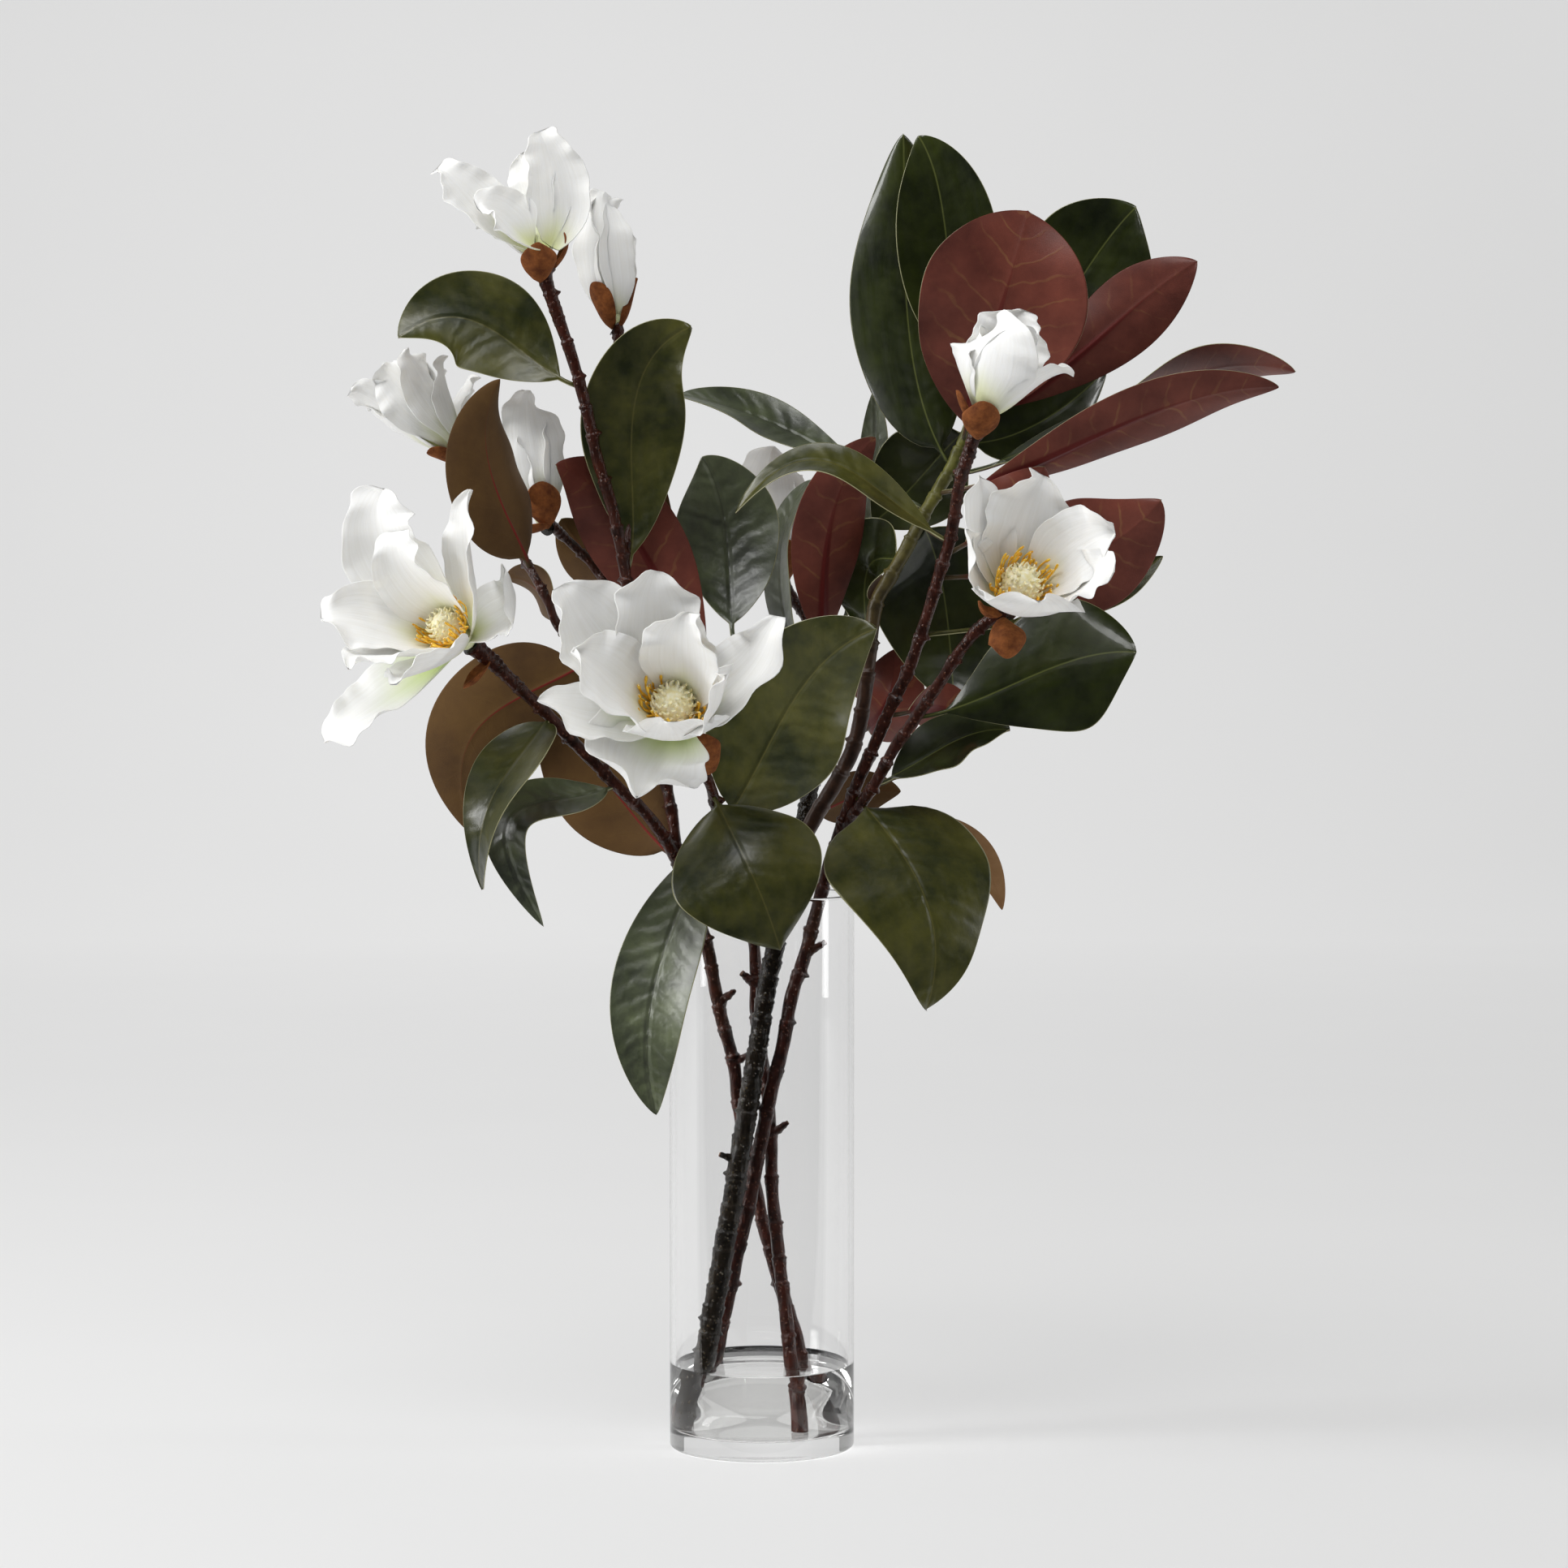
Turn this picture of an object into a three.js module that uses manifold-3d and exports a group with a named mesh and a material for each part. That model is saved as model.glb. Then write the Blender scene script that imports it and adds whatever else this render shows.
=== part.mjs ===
// Magnolia branches in a tall clear glass cylinder vase. Millimetres, +Z up.
// The vase stands on z = 0 at the origin and the front is -Y.
import * as THREE from 'three';
import { mergeVertices } from 'three/addons/utils/BufferGeometryUtils.js';
import Module from 'manifold-3d';

const wasm = await Module();
wasm.setup();
const V3 = THREE.Vector3;
const group = new THREE.Group();

// Sizes
const VASE_R = 50;
const VASE_H = 300;
const WALL = 3;
const FLOOR = 10;
const WATER_TOP = 44;
const GAP = 0.3;
const ROUND = 1.4;
const VASE_SIDES = 40;
const LEAF_HALF = 0.42;
const PETIOLE_HALF = 1.2;
const PETAL_HALF = 0.4;
const SCALE_HALF = 0.6;
const LEAF_ROWS = 6;
const LEAF_COLS = 4;
const SMALL_LEAF = 40;
const PETAL_ROWS = 4;
const PETAL_COLS = 3;
const CORE_R = 5.5;
const COARSE = [0.15, 0.13, 0.11, 0.08, 0.04];
const SIMPLE = COARSE[0];
const CUTS = 1;
const STALK = 0.07;
const LEAD = 0.28;
const STAMENS = 9;

// Places are written as on a front elevation: x and z as read at the vase's middle
// plane, y the real depth behind it. The elevation is drawn as seen from this eye.
const EYE = { x: 12, z: 453, far: 2213 };
const at = ([x, y, z]) => {
  const k = 1 + y / EYE.far;
  return new V3(EYE.x + (x - EYE.x) * k, y, EYE.z + (z - EYE.z) * k);
};

// Stems: centre points [x, y, z], the radius at the foot and at the end, and sides.
const STEMS = {
  T: { r: [6, 4.2], sides: 7, pts: [
    [-38, -8, 6], [-32, -8, 40], [-16, -8, 133], [-8, -6, 181], [-1, -4, 225],
    [6, 0, 266], [15, 4, 305], [22, 14, 335], [27, 30, 364], [31, 48, 397], [33, 58, 432]] },
  OL: { r: [4.6, 3], sides: 6, pts: [
    [20, 9, 325], [31, 4, 345], [42, 0, 364], [51, -3, 383], [57, -3, 419], [61, 0, 454],
    [69, 2, 470], [81, 5, 492], [93, 8, 514], [104, 10, 534], [111, 12, 550], [116, 14, 566],
    [118, 15, 577]] },
  S1: { r: [3.9, 3.2], sides: 6, pts: [
    [24, 20, 4], [21, 14, 49], [7, 20, 97], [-2, 22, 133], [-12, 14, 180], [-15, 12, 207],
    [-22, 10, 232], [-30, 6, 272], [-41, 4, 304], [-49, -2, 324], [-61, -10, 341],
    [-75, -18, 355], [-97, -30, 377], [-116, -40, 397], [-132, -48, 412], [-144, -55, 424]] },
  S1b: { r: [3.2, 3.2], sides: 6, pts: [
    [-45, 0, 317], [-50, 5, 351], [-58, 8, 388], [-67, 8, 432], [-73, 4, 469],
    [-79, -1, 502], [-89, -6, 537], [-98, -10, 576], [-108, -14, 606], [-116, -18, 630]] },
  P2: { r: [2.4, 2.6], sides: 6, pts: [
    [-74, 4, 475], [-72, 14, 502], [-72, 24, 537], [-73, 27, 576], [-77, 26, 601]] },
  P4: { r: [2.4, 2.6], sides: 6, pts: [
    [-67, 8, 436], [-78, 32, 458], [-93, 42, 479], [-106, 36, 492], [-113, 28, 498]] },
  P3: { r: [2.6, 2.4], sides: 6, pts: [
    [-57, 8, 386], [-82, 9, 410], [-108, 4, 442], [-115, 0, 457], [-122, 2, 470],
    [-130, 14, 484], [-148, 28, 510], [-160, 34, 532]] },
  S2: { r: [3.9, 2.8], sides: 6, pts: [
    [17, -12, 4], [16, -8, 40], [10, 0, 97], [6, 6, 133], [4, 10, 182], [-3, 11, 233],
    [-4, 10, 272], [-10, 4, 298], [-17, -12, 322], [-24, -34, 344], [-29, -56, 361],
    [-40, -68, 382]] },
  S2b: { r: [2.6, 2.2], sides: 6, pts: [
    [-14, -6, 311], [-14, 0, 344], [-15, 8, 379], [-15, 14, 410], [-15, 16, 436]] },
  S3: { r: [4.3, 3], sides: 6, pts: [
    [-31, 14, 4], [-25, 10, 49], [-13, 6, 106], [-7, 4, 132], [-1, 2, 163], [5, -3, 192],
    [12, -3, 221], [17, -3, 248], [24, -4, 269], [31, -6, 296], [40, -12, 327],
    [52, -22, 360], [68, -30, 397], [82, -40, 428], [95, -52, 470], [101, -60, 489],
    [107, -76, 523], [116, -86, 551]] },
  B: { r: [3.2, 3], sides: 6, pts: [
    [43, -14, 333], [60, -32, 358], [74, -44, 382], [95, -62, 412], [104, -70, 427],
    [118, -80, 444], [130, -83, 452]] },
  P7: { r: [2.4, 2.4], sides: 6, pts: [
    [33, 56, 424], [26, 70, 445], [14, 82, 464]] },
};
const BRANCHES = {
  branch_leafy: { stems: ['T', 'OL', 'P7'], colour: 0x2b1d14 },
  branch_left: { stems: ['S1', 'S1b', 'P2', 'P4', 'P3'], colour: 0x3b2118 },
  branch_middle: { stems: ['S2', 'S2b'], colour: 0x3b2118 },
  branch_right: { stems: ['S3', 'B'], colour: 0x3b2118 },
};
// Short side stubs left where twigs were cut: stem, height, direction, length.
const STUBS = [
  ['S1', 240, [0.8, -0.4, 0.6], 9], ['S1', 207, [0.8, -0.5, 0.5], 7],
  ['T', 156, [-0.9, -0.3, 0.3], 6], ['S3', 268, [0.9, -0.2, 0.5], 9],
  ['S2', 168, [0.8, -0.3, 0.6], 9], ['S2', 250, [-0.7, -0.3, 0.6], 7],
];

// Leaves: stem, height where it leaves it, middle and tip of the midrib, width, the
// way the upper side faces, how far the blade is cupped (radians), where it is widest
// (over 1 is nearer the tip) and its twist (radians).
const LEAVES = {
  leaf_01: ['S1b', 573, [-148, 2, 605], [-195, -8, 599], 58, [-0.1, -0.92, 0.35], 0.3, 1.0],
  leaf_02: ['S1b', 473, [-70, 12, 547], [-38, -4, 605], 58, [0.12, -0.97, 0.1], 0.4, 1.15],
  leaf_03: ['P3', 475, [-145, -14, 523], [-141, -14, 577], 52, [-0.6, 0.75, 0.1], 0.7, 0.75],
  leaf_04: ['S2b', 415, [-68, 24, 491], [-111, 8, 531], 52, [0.2, 0.9, -0.3], 0.3, 0.9],
  leaf_05: ['P4', 452, [-62, 62, 490], [-54, 66, 524], 30, [0, 0.95, 0.1], 0.3],
  leaf_06: ['P4', 466, [-94, 56, 482], [-108, 52, 502], 30, [0, 0.95, 0.1], 0.3],
  leaf_07: ['P3', 445, [-120, 22, 463], [-138, 34, 470], 30, [0, 0.7, 0.7], 0.3],
  leaf_08: ['P3', 425, [-142, -4, 399], [-156, -8, 332], 62, [0.1, 0.95, 0.2], 0.3, 0.8],
  leaf_09: ['S1', 396, [-137, -60, 366], [-151, -52, 302], 44, [-0.55, -0.7, 0.45], 0.4, 0.75],
  leaf_10: ['S1', 360, [-123, -44, 348], [-118, -38, 282], 36, [-0.4, -0.7, 0.55], 0.3],
  leaf_11: ['S1', 320, [-82, 18, 358], [-124, 12, 395], 61, [0, 0.95, -0.2], 0.3],
  leaf_12: ['S2', 338, [13, -26, 397], [62, -42, 443], 76, [-0.1, -0.95, 0.25], 0.25, 0.82],
  leaf_13: ['S2b', 436, [-19, 46, 493], [-32, 42, 535], 60, [0.1, -0.9, 0.4], 0.4],
  leaf_14: ['T', 410, [10, 58, 475], [27, 52, 523], 30, [-0.8, -0.4, 0.2], 0.4],
  leaf_15: ['OL', 507, [8, 62, 552], [-44, 46, 568], 36, [0, -0.6, 0.8], 0.4, 1.35],
  leaf_16: ['S3', 489, [45, -56, 529], [-14, -40, 505], 28, [0, -0.6, 0.8], 0.4],
  leaf_17: ['S2', 356, [-7, -74, 314], [10, -68, 269], 83, [0.1, -0.95, 0.3], -0.3, 0.85],
  leaf_18: ['S2', 340, [-55, -60, 262], [-57, -50, 180], 47, [-0.35, -0.9, 0.2], 0.3, 1.0],
  leaf_19: ['S3', 354, [88, -62, 298], [89, -58, 237], 90, [0.2, -0.97, 0.1], -0.2, 0.55],
  leaf_20: ['S3', 344, [104, -4, 329], [130, -6, 291], 22, [0.2, 0.9, 0.2], 0.3],
  leaf_21: ['T', 344, [49, 42, 352], [75, 44, 355], 28, [0, 0.95, 0.2], 0.3],
  leaf_22: ['B', 397, [152, -54, 420], [202, -62, 430], 72, [0.15, -0.93, 0.3], -0.3, 1.25],
  leaf_23: ['B', 360, [102, -20, 381], [134, -24, 388], 46, [0, -0.5, 0.85], 0.3],
  leaf_24: ['OL', 545, [126, -28, 607], [143, -20, 667], 92, [0, 0.95, 0.2], -0.3, 1.15],
  leaf_25: ['OL', 531, [78, 22, 615], [76, 18, 708], 64, [-0.1, -0.95, 0.1], -0.5, 0.82],
  leaf_26: ['OL', 575, [101, 2, 636], [84, 0, 707], 56, [0, -1, 0.1], 0.3, 1.15],
  leaf_27: ['OL', 567, [171, 38, 630], [201, 34, 669], 68, [0.1, -0.97, 0.2], 0.2, 1.2],
  leaf_28: ['OL', 557, [185, 12, 602], [234, 4, 640], 42, [-0.1, 0.95, -0.2], 0.3, 1.25],
  leaf_29: ['OL', 527, [210, -4, 572], [287, -28, 581], 46, [0, 0.1, 1], 0.3, 0.95, -1.6],
  leaf_30: ['OL', 517, [200, -34, 555], [278, -48, 573], 38, [0, 0.75, 0.65], 0.3],
  leaf_31: ['T', 425, [36, 24, 493], [61, 9, 546], 40, [-0.3, 0.9, 0.1], 0.3],
  leaf_32: ['OL', 500, [98, 34, 462], [104, 28, 400], 80, [0, -0.95, 0.1], 0.3],
  leaf_33: ['S3', 470, [169, -28, 480], [215, -36, 512], 62, [0, 0.95, 0.1], 0.3],
  leaf_34: ['S3', 482, [134, -20, 506], [152, -22, 530], 38, [0, 0.95, 0.1], 0.3],
  leaf_35: ['OL', 386, [68, 50, 404], [72, 56, 432], 44, [0, 0.95, 0.1], 0.3],
  leaf_36: ['OL', 480, [60, 40, 479], [57, 42, 437], 50, [0, -0.95, 0.1], 0.4],
  leaf_37: ['T', 428, [60, 62, 520], [61, 54, 572], 23, [-0.6, -0.7, 0.1], 0.3],
  leaf_38: ['S3', 440, [185, -6, 462], [216, -8, 482], 20, [0, -0.9, 0.4], 0.3],
  leaf_39: ['OL', 543, [150, 30, 554], [185, 24, 582], 43, [0, -0.9, 0.4], 0.3, 0.75],
  leaf_40: ['S3', 397, [97, 8, 400], [115, 10, 398], 28, [0, 0.95, 0.1], 0.3],
  leaf_41: ['OL', 550, [88, 38, 527], [60, 44, 500], 56, [0, -0.95, 0.1], 0.3],
};
const LEAF_GREEN = 0x2f3c20;

// Blooms: the branch below, the heart, the axis, petals and bud scales as
// [middle, tip, width, foot, way the inside faces], and the cone of the open ones.
const BLOOMS = {
  1: { stem: 'S1b', heart: [-118, -18, 642], axis: [-0.35, -0.1, 0.93], petals: [
    [[-151, -26, 670], [-174, -24, 691], 34, [-121, -23, 648], [0.3, -0.8, 0.5]],
    [[-137, -34, 662], [-152, -40, 670], 42, [-122, -28, 648], [0.3, -0.6, 0.7]],
    [[-110, -14, 676], [-119, -12, 710], 37, [-114, -18, 648], [0.2, -0.9, 0.3]],
    [[-121, -4, 679], [-129, 0, 698], 30],
    [[-134, -12, 651], [-152, -8, 660], 32], [[-112, 2, 666], [-119, 8, 689], 38]],
  scales: [[[-119, -31, 639], [-120, -32, 650], 22, [-118, -20, 629]],
    [[-105, -14, 646], [-107, -13, 657], 12, [-114, -16, 634]]] },
  2: { stem: 'P2', heart: [-79, 26, 610], axis: [-0.1, 0, 1], petals: [
    [[-92, 26, 640], [-90, 26, 677], 30], [[-76, 24, 645], [-77, 24, 674], 38],
    [[-85, 14, 639], [-85, 20, 676], 34], [[-83, 38, 641], [-82, 30, 671], 34]],
  scales: [[[-87, 16, 618], [-90, 13, 629], 16, [-80, 24, 604]],
    [[-70, 24, 619], [-67, 22, 631], 12, [-77, 25, 604]]] },
  3: { stem: 'P3', heart: [-165, 34, 540], axis: [-0.75, -0.05, 0.65], petals: [
    [[-199, 24, 559], [-221, 20, 572], 34], [[-188, 18, 568], [-205, 14, 584], 37],
    [[-178, 22, 572], [-192, 18, 593], 39], [[-168, 30, 568], [-171, 28, 590], 39],
    [[-159, 44, 560], [-153, 48, 579], 34], [[-189, 36, 551], [-212, 38, 562], 32],
    [[-182, 48, 569], [-199, 52, 585], 39]],
  scales: [[[-172, 27, 535], [-180, 24, 538], 13, [-161, 34, 533]]] },
  4: { stem: 'P4', heart: [-117, 24, 503], axis: [-0.2, 0, 1], petals: [
    [[-131, 22, 526], [-136, 20, 550], 30], [[-122, 12, 537], [-126, 18, 570], 36],
    [[-112, 24, 536], [-112, 26, 557], 31], [[-121, 36, 534], [-123, 32, 560], 32]],
  scales: [[[-117, 10, 510], [-119, 7, 522], 22, [-115, 24, 497]],
    [[-122, 18, 495], [-129, 15, 496], 14, [-114, 25, 498]]] },
  5: { stem: 'S1', heart: [-160, -66, 437], axis: [-0.62, -0.62, 0.48], cone: 9.5, petals: [
    [[-199, -70, 480], [-204, -66, 519], 49], [[-185, -84, 467], [-197, -92, 496], 45],
    [[-157, -84, 475], [-158, -96, 518], 42], [[-140, -72, 449], [-140, -92, 473], 46],
    [[-208, -78, 446], [-238, -84, 449], 47], [[-201, -92, 429], [-224, -104, 423], 48],
    [[-201, -70, 405], [-237, -72, 383], 49], [[-179, -98, 421], [-198, -116, 415], 54]],
  scales: [[[-153, -62, 416], [-161, -64, 411], 15, [-147, -57, 426]]] },
  6: { stem: 'S2', heart: [-46, -74, 394], axis: [-0.05, -0.85, 0.52], cone: 11.5, petals: [
    [[-85, -92, 435], [-107, -102, 467], 58], [[-55, -84, 432], [-56, -98, 474], 60],
    [[-42, -104, 427], [-41, -118, 452], 48], [[-14, -86, 413], [7, -98, 450], 47],
    [[-77, -104, 412], [-102, -120, 432], 56], [[-86, -86, 395], [-120, -96, 406], 40],
    [[-61, -90, 374], [-67, -108, 353], 72], [[-45, -106, 383], [-50, -126, 394], 58],
    [[-25, -104, 399], [-21, -126, 418], 48]],
  scales: [[[-31, -78, 375], [-30, -84, 386], 20, [-31, -60, 364], [0, 1, 0.3]]] },
  7: { stem: 'P7', heart: [11, 84, 473], axis: [-0.1, 0, 1], petals: [
    [[4, 74, 504], [6, 82, 540], 50], [[19, 84, 504], [20, 88, 524], 38],
    [[-3, 90, 503], [-7, 94, 519], 33], [[7, 98, 502], [8, 96, 528], 36]],
  scales: [[[12, 72, 481], [12, 69, 492], 18, [13, 82, 468]]] },
  8: { stem: 'S3', heart: [120, -88, 558], axis: [0.3, -0.1, 0.93], petals: [
    [[121, -106, 589], [129, -98, 610], 56], [[132, -78, 593], [139, -82, 614], 45],
    [[146, -92, 572], [168, -94, 581], 37], [[112, -86, 584], [120, -88, 604], 35],
    [[134, -100, 584], [147, -98, 600], 37]],
  scales: [[[118, -101, 554], [118, -103, 565], 23, [116, -88, 545], [0, 1, 0.3]],
    [[108, -92, 561], [105, -93, 571], 10, [117, -88, 550]]] },
  9: { stem: 'B', heart: [135, -84, 457], axis: [0.25, -0.8, 0.55], cone: 11, petals: [
    [[121, -96, 493], [119, -96, 525], 34], [[142, -88, 496], [153, -92, 525], 53],
    [[168, -98, 484], [190, -108, 495], 44], [[170, -104, 466], [188, -124, 475], 39],
    [[142, -110, 450], [149, -132, 459], 62], [[116, -100, 473], [112, -116, 496], 39]],
  scales: [[[132, -97, 439], [132, -97, 427], 23, [130, -85, 449], [0, 1, 0.1]],
    [[120, -92, 451], [117, -94, 458], 10, [130, -84, 452]]] },
};
const BLOOM_STEMS = Object.values(BLOOMS).map((b) => b.stem);

// ---- solids ----
const solid = (verts, tris) => new wasm.Manifold(new wasm.Mesh({
  numProp: 3,
  vertProperties: new Float32Array(verts),
  triVerts: new Uint32Array(tris),
}));

// True where each edge has two faces once corners within a tenth of a micron are one.
function sound(body) {
  const { vertProperties: v, triVerts: t } = body.getMesh();
  const corner = (i) => [0, 1, 2].map((k) => v[3 * i + k].toFixed(4)).join();
  const faces = new Map();
  for (let i = 0; i < t.length; i += 3) {
    const tri = [corner(t[i]), corner(t[i + 1]), corner(t[i + 2])];
    if (new Set(tri).size < 3) continue;
    for (let k = 0; k < 3; k += 1) {
      const edge = [tri[k], tri[(k + 1) % 3]].sort().join();
      faces.set(edge, (faces.get(edge) ?? 0) + 1);
    }
  }
  return [...faces.values()].every((n) => n === 2);
}

// The largest piece of a body, thinned by the coarsest step that leaves it sound.
function biggest(body) {
  const thinned = COARSE.map((step) => {
    const parts = body.asOriginal().simplify(step).decompose();
    return parts.sort((a, b) => b.volume() - a.volume())[0];
  });
  return thinned.find(sound) ?? thinned[0];
}

function addNode(name, body, colour, extra = {}) {
  const mesh = body.getMesh();
  const geometry = new THREE.BufferGeometry();
  const place = new Float32Array(mesh.vertProperties);
  geometry.setAttribute('position', new THREE.BufferAttribute(place, 3));
  geometry.setIndex(new THREE.BufferAttribute(new Uint32Array(mesh.triVerts), 1));
  geometry.computeVertexNormals();
  const material = new THREE.MeshStandardMaterial({ color: colour, roughness: 0.6, ...extra });
  const node = new THREE.Mesh(geometry, material);
  node.name = name;
  group.add(node);
}

// A three.js geometry as a solid: shared corners merged, slivers at the axis dropped.
function solidOf(geometry) {
  geometry.deleteAttribute('normal');
  geometry.deleteAttribute('uv');
  const merged = mergeVertices(geometry, 1e-3);
  const index = merged.index.array;
  const tris = [];
  for (let i = 0; i < index.length; i += 3) {
    const [a, b, c] = index.subarray(i, i + 3);
    if (a !== b && b !== c && c !== a) tris.push(a, b, c);
  }
  return solid(merged.attributes.position.array, tris);
}

// Solid of revolution about z from [radius, height] points that start and end on the axis.
function turned(profile, sides) {
  const outline = profile.map(([r, z]) => new THREE.Vector2(r, z));
  return solidOf(new THREE.LatheGeometry(outline, sides).rotateX(Math.PI / 2));
}

// Points along a smooth curve through the given ones, each span cut in `cuts`.
function smooth(points, cuts) {
  const out = [];
  const n = points.length;
  for (let i = 0; i + 1 < n; i += 1) {
    const p0 = points[Math.max(i - 1, 0)];
    const p1 = points[i];
    const p2 = points[i + 1];
    const p3 = points[Math.min(i + 2, n - 1)];
    for (let k = 0; k < cuts; k += 1) {
      const t = k / cuts;
      const m1 = p2.clone().sub(p0).multiplyScalar(0.5);
      const m2 = p3.clone().sub(p1).multiplyScalar(0.5);
      const h = p1.clone().multiplyScalar(2 * t ** 3 - 3 * t ** 2 + 1);
      h.addScaledVector(m1, t ** 3 - 2 * t ** 2 + t);
      h.addScaledVector(p2, -2 * t ** 3 + 3 * t ** 2);
      h.addScaledVector(m2, t ** 3 - t ** 2);
      out.push(h);
    }
  }
  out.push(points[n - 1].clone());
  return out;
}

// A closed round stem along the points.
function tube(points, radius, sides, grow) {
  const verts = [];
  const tris = [];
  const n = points.length;
  const tangent = (i) => points[Math.min(i + 1, n - 1)].clone()
    .sub(points[Math.max(i - 1, 0)]).normalize();
  let side = new V3(1, 0, 0);
  for (let i = 0; i < n; i += 1) {
    const t = tangent(i);
    side = side.addScaledVector(t, -side.dot(t)).normalize();
    const up = t.clone().cross(side);
    const r = radius(i / (n - 1)) + grow;
    for (let j = 0; j < sides; j += 1) {
      const a = (2 * Math.PI * j) / sides;
      const p = points[i].clone().addScaledVector(side, r * Math.cos(a));
      p.addScaledVector(up, r * Math.sin(a));
      verts.push(p.x, p.y, p.z);
    }
  }
  for (let i = 0; i + 1 < n; i += 1) {
    for (let j = 0; j < sides; j += 1) {
      const k = (j + 1) % sides;
      const [a, b, c, d] = [i * sides + j, i * sides + k, (i + 1) * sides + k, (i + 1) * sides + j];
      tris.push(a, b, c, a, c, d);
    }
  }
  const ends = [[0, -grow], [n - 1, grow]];
  for (const [i, push] of ends) {
    const c = points[i].clone().addScaledVector(tangent(i), push);
    const hub = verts.length / 3;
    verts.push(c.x, c.y, c.z);
    for (let j = 0; j < sides; j += 1) {
      const a = i * sides + j;
      const b = i * sides + ((j + 1) % sides);
      if (i === 0) tris.push(hub, b, a);
      else tris.push(hub, a, b);
    }
  }
  return solid(verts, tris);
}

// A thin closed blade along the curve from a through m to p. `lead` bends its start. The
// outline is at its half way where the curve passes m.
function blade({ a, m, p, lead, face, w, rows, cols, width, half, cup, twist = 0 }) {
  const span = m.distanceTo(a) + p.distanceTo(m);
  const k = Math.min(Math.max(m.distanceTo(a) / span, 0.35), 0.75);
  const b1 = a.clone().addScaledVector(lead, LEAD * span);
  const b2 = m.clone().addScaledVector(a, -((1 - k) ** 3)).addScaledVector(p, -(k ** 3));
  b2.addScaledVector(b1, -3 * (1 - k) ** 2 * k).divideScalar(3 * (1 - k) * k ** 2);
  const bez = new THREE.CubicBezierCurve3(a, b1, b2, p);
  const top = [];
  const bottom = [];
  for (let i = 0; i <= rows; i += 1) {
    const t = i / rows;
    const place = t ** (Math.log(k) / Math.log(0.5));
    const c = bez.getPoint(place);
    const along = bez.getTangent(place);
    const up = face.clone().applyAxisAngle(along, twist * (t - 0.5));
    const side = along.clone().cross(up).normalize();
    const n = side.clone().cross(along).normalize();
    const r = (w / 2) * width(t);
    for (let j = 0; j <= cols; j += 1) {
      const s = i === rows ? 0 : (2 * j) / cols - 1;
      const ang = cup * s;
      const q = c.clone().addScaledVector(side, (r * Math.sin(ang)) / cup);
      q.addScaledVector(n, (r * (1 - Math.cos(ang))) / cup);
      const nn = n.clone().multiplyScalar(Math.cos(ang)).addScaledVector(side, -Math.sin(ang));
      top.push(q.clone().addScaledVector(nn, half(t, s)));
      bottom.push(q.clone().addScaledVector(nn, -half(t, s)));
      if (i === rows) break;
    }
  }
  const off = top.length;
  const verts = [...top, ...bottom].flatMap((v) => [v.x, v.y, v.z]);
  const tris = [];
  const id = (i, j) => (i === rows ? rows * (cols + 1) : i * (cols + 1) + j);
  for (let i = 0; i < rows; i += 1) {
    const last = i === rows - 1;
    for (let j = 0; j < cols; j += 1) {
      const [e, f, g, h] = [id(i, j), id(i, j + 1), id(i + 1, j + 1), id(i + 1, j)];
      tris.push(e, f, g, e + off, g + off, f + off);
      if (!last) tris.push(e, g, h, e + off, h + off, g + off);
    }
    const [u, v] = [id(i, 0), id(i + 1, 0)];
    tris.push(u, v, v + off, u, v + off, u + off);
    const [x, y] = [id(i, cols), id(i + 1, cols)];
    tris.push(x, y + off, y, x, x + off, y + off);
  }
  for (let j = 0; j < cols; j += 1) {
    tris.push(j, j + off, j + 1 + off, j, j + 1 + off, j + 1);
  }
  return solid(verts, tris);
}

// ---- stems ----
const lines = {};
for (const [key, stem] of Object.entries(STEMS)) lines[key] = smooth(stem.pts.map(at), CUTS);

// Centre, direction and radius of a stem where it passes a height.
function passing(key, height) {
  const line = lines[key];
  const last = line.length - 1;
  let i = 0;
  while (i < last - 1 && line[i + 1].z < height) i += 1;
  const f = (height - line[i].z) / (line[i + 1].z - line[i].z);
  const k = Math.min(Math.max(f, 0), 1);
  const [r0, r1] = STEMS[key].r;
  return {
    p: line[i].clone().lerp(line[i + 1], k),
    t: line[i + 1].clone().sub(line[i]).normalize(),
    r: r0 + ((r1 - r0) * (i + k)) / last,
  };
}

const bloomFrame = (b) => ({ heart: at(b.heart), axis: new V3(...b.axis).normalize() });
const sink = (t) => Math.min(1, 0.2 + 2.6 * t);
const petalWidth = (t) => Math.min(sink(t), Math.sqrt(Math.max(0, 1 - ((t - 0.55) / 0.46) ** 4)));
const scaleWidth = (t) => Math.min(sink(t), Math.sqrt(Math.max(0, 1 - ((t - 0.5) / 0.51) ** 2)));

function bloomBlade(b, [mid, tip, w, foot, inner], { grow = 0, ...opts }) {
  const { heart, axis } = bloomFrame(b);
  const m = at(mid);
  const p = at(tip);
  p.addScaledVector(p.clone().sub(m).normalize(), 2 * grow);
  const out = m.clone().sub(heart);
  out.addScaledVector(axis, -out.dot(axis));
  if (out.length() < 1) out.set(0, -1, 0);
  out.normalize();
  const face = inner ? new V3(...inner) : axis.clone().sub(out).normalize();
  const a = foot ? at(foot) : heart.clone().addScaledVector(out, 0.6 * CORE_R);
  const to = m.clone().sub(a).normalize();
  const lead = to.multiplyScalar(0.7).addScaledVector(out, 0.5);
  return blade({ a, m, p, lead, face, w: w + 3 * grow, ...opts });
}

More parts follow.
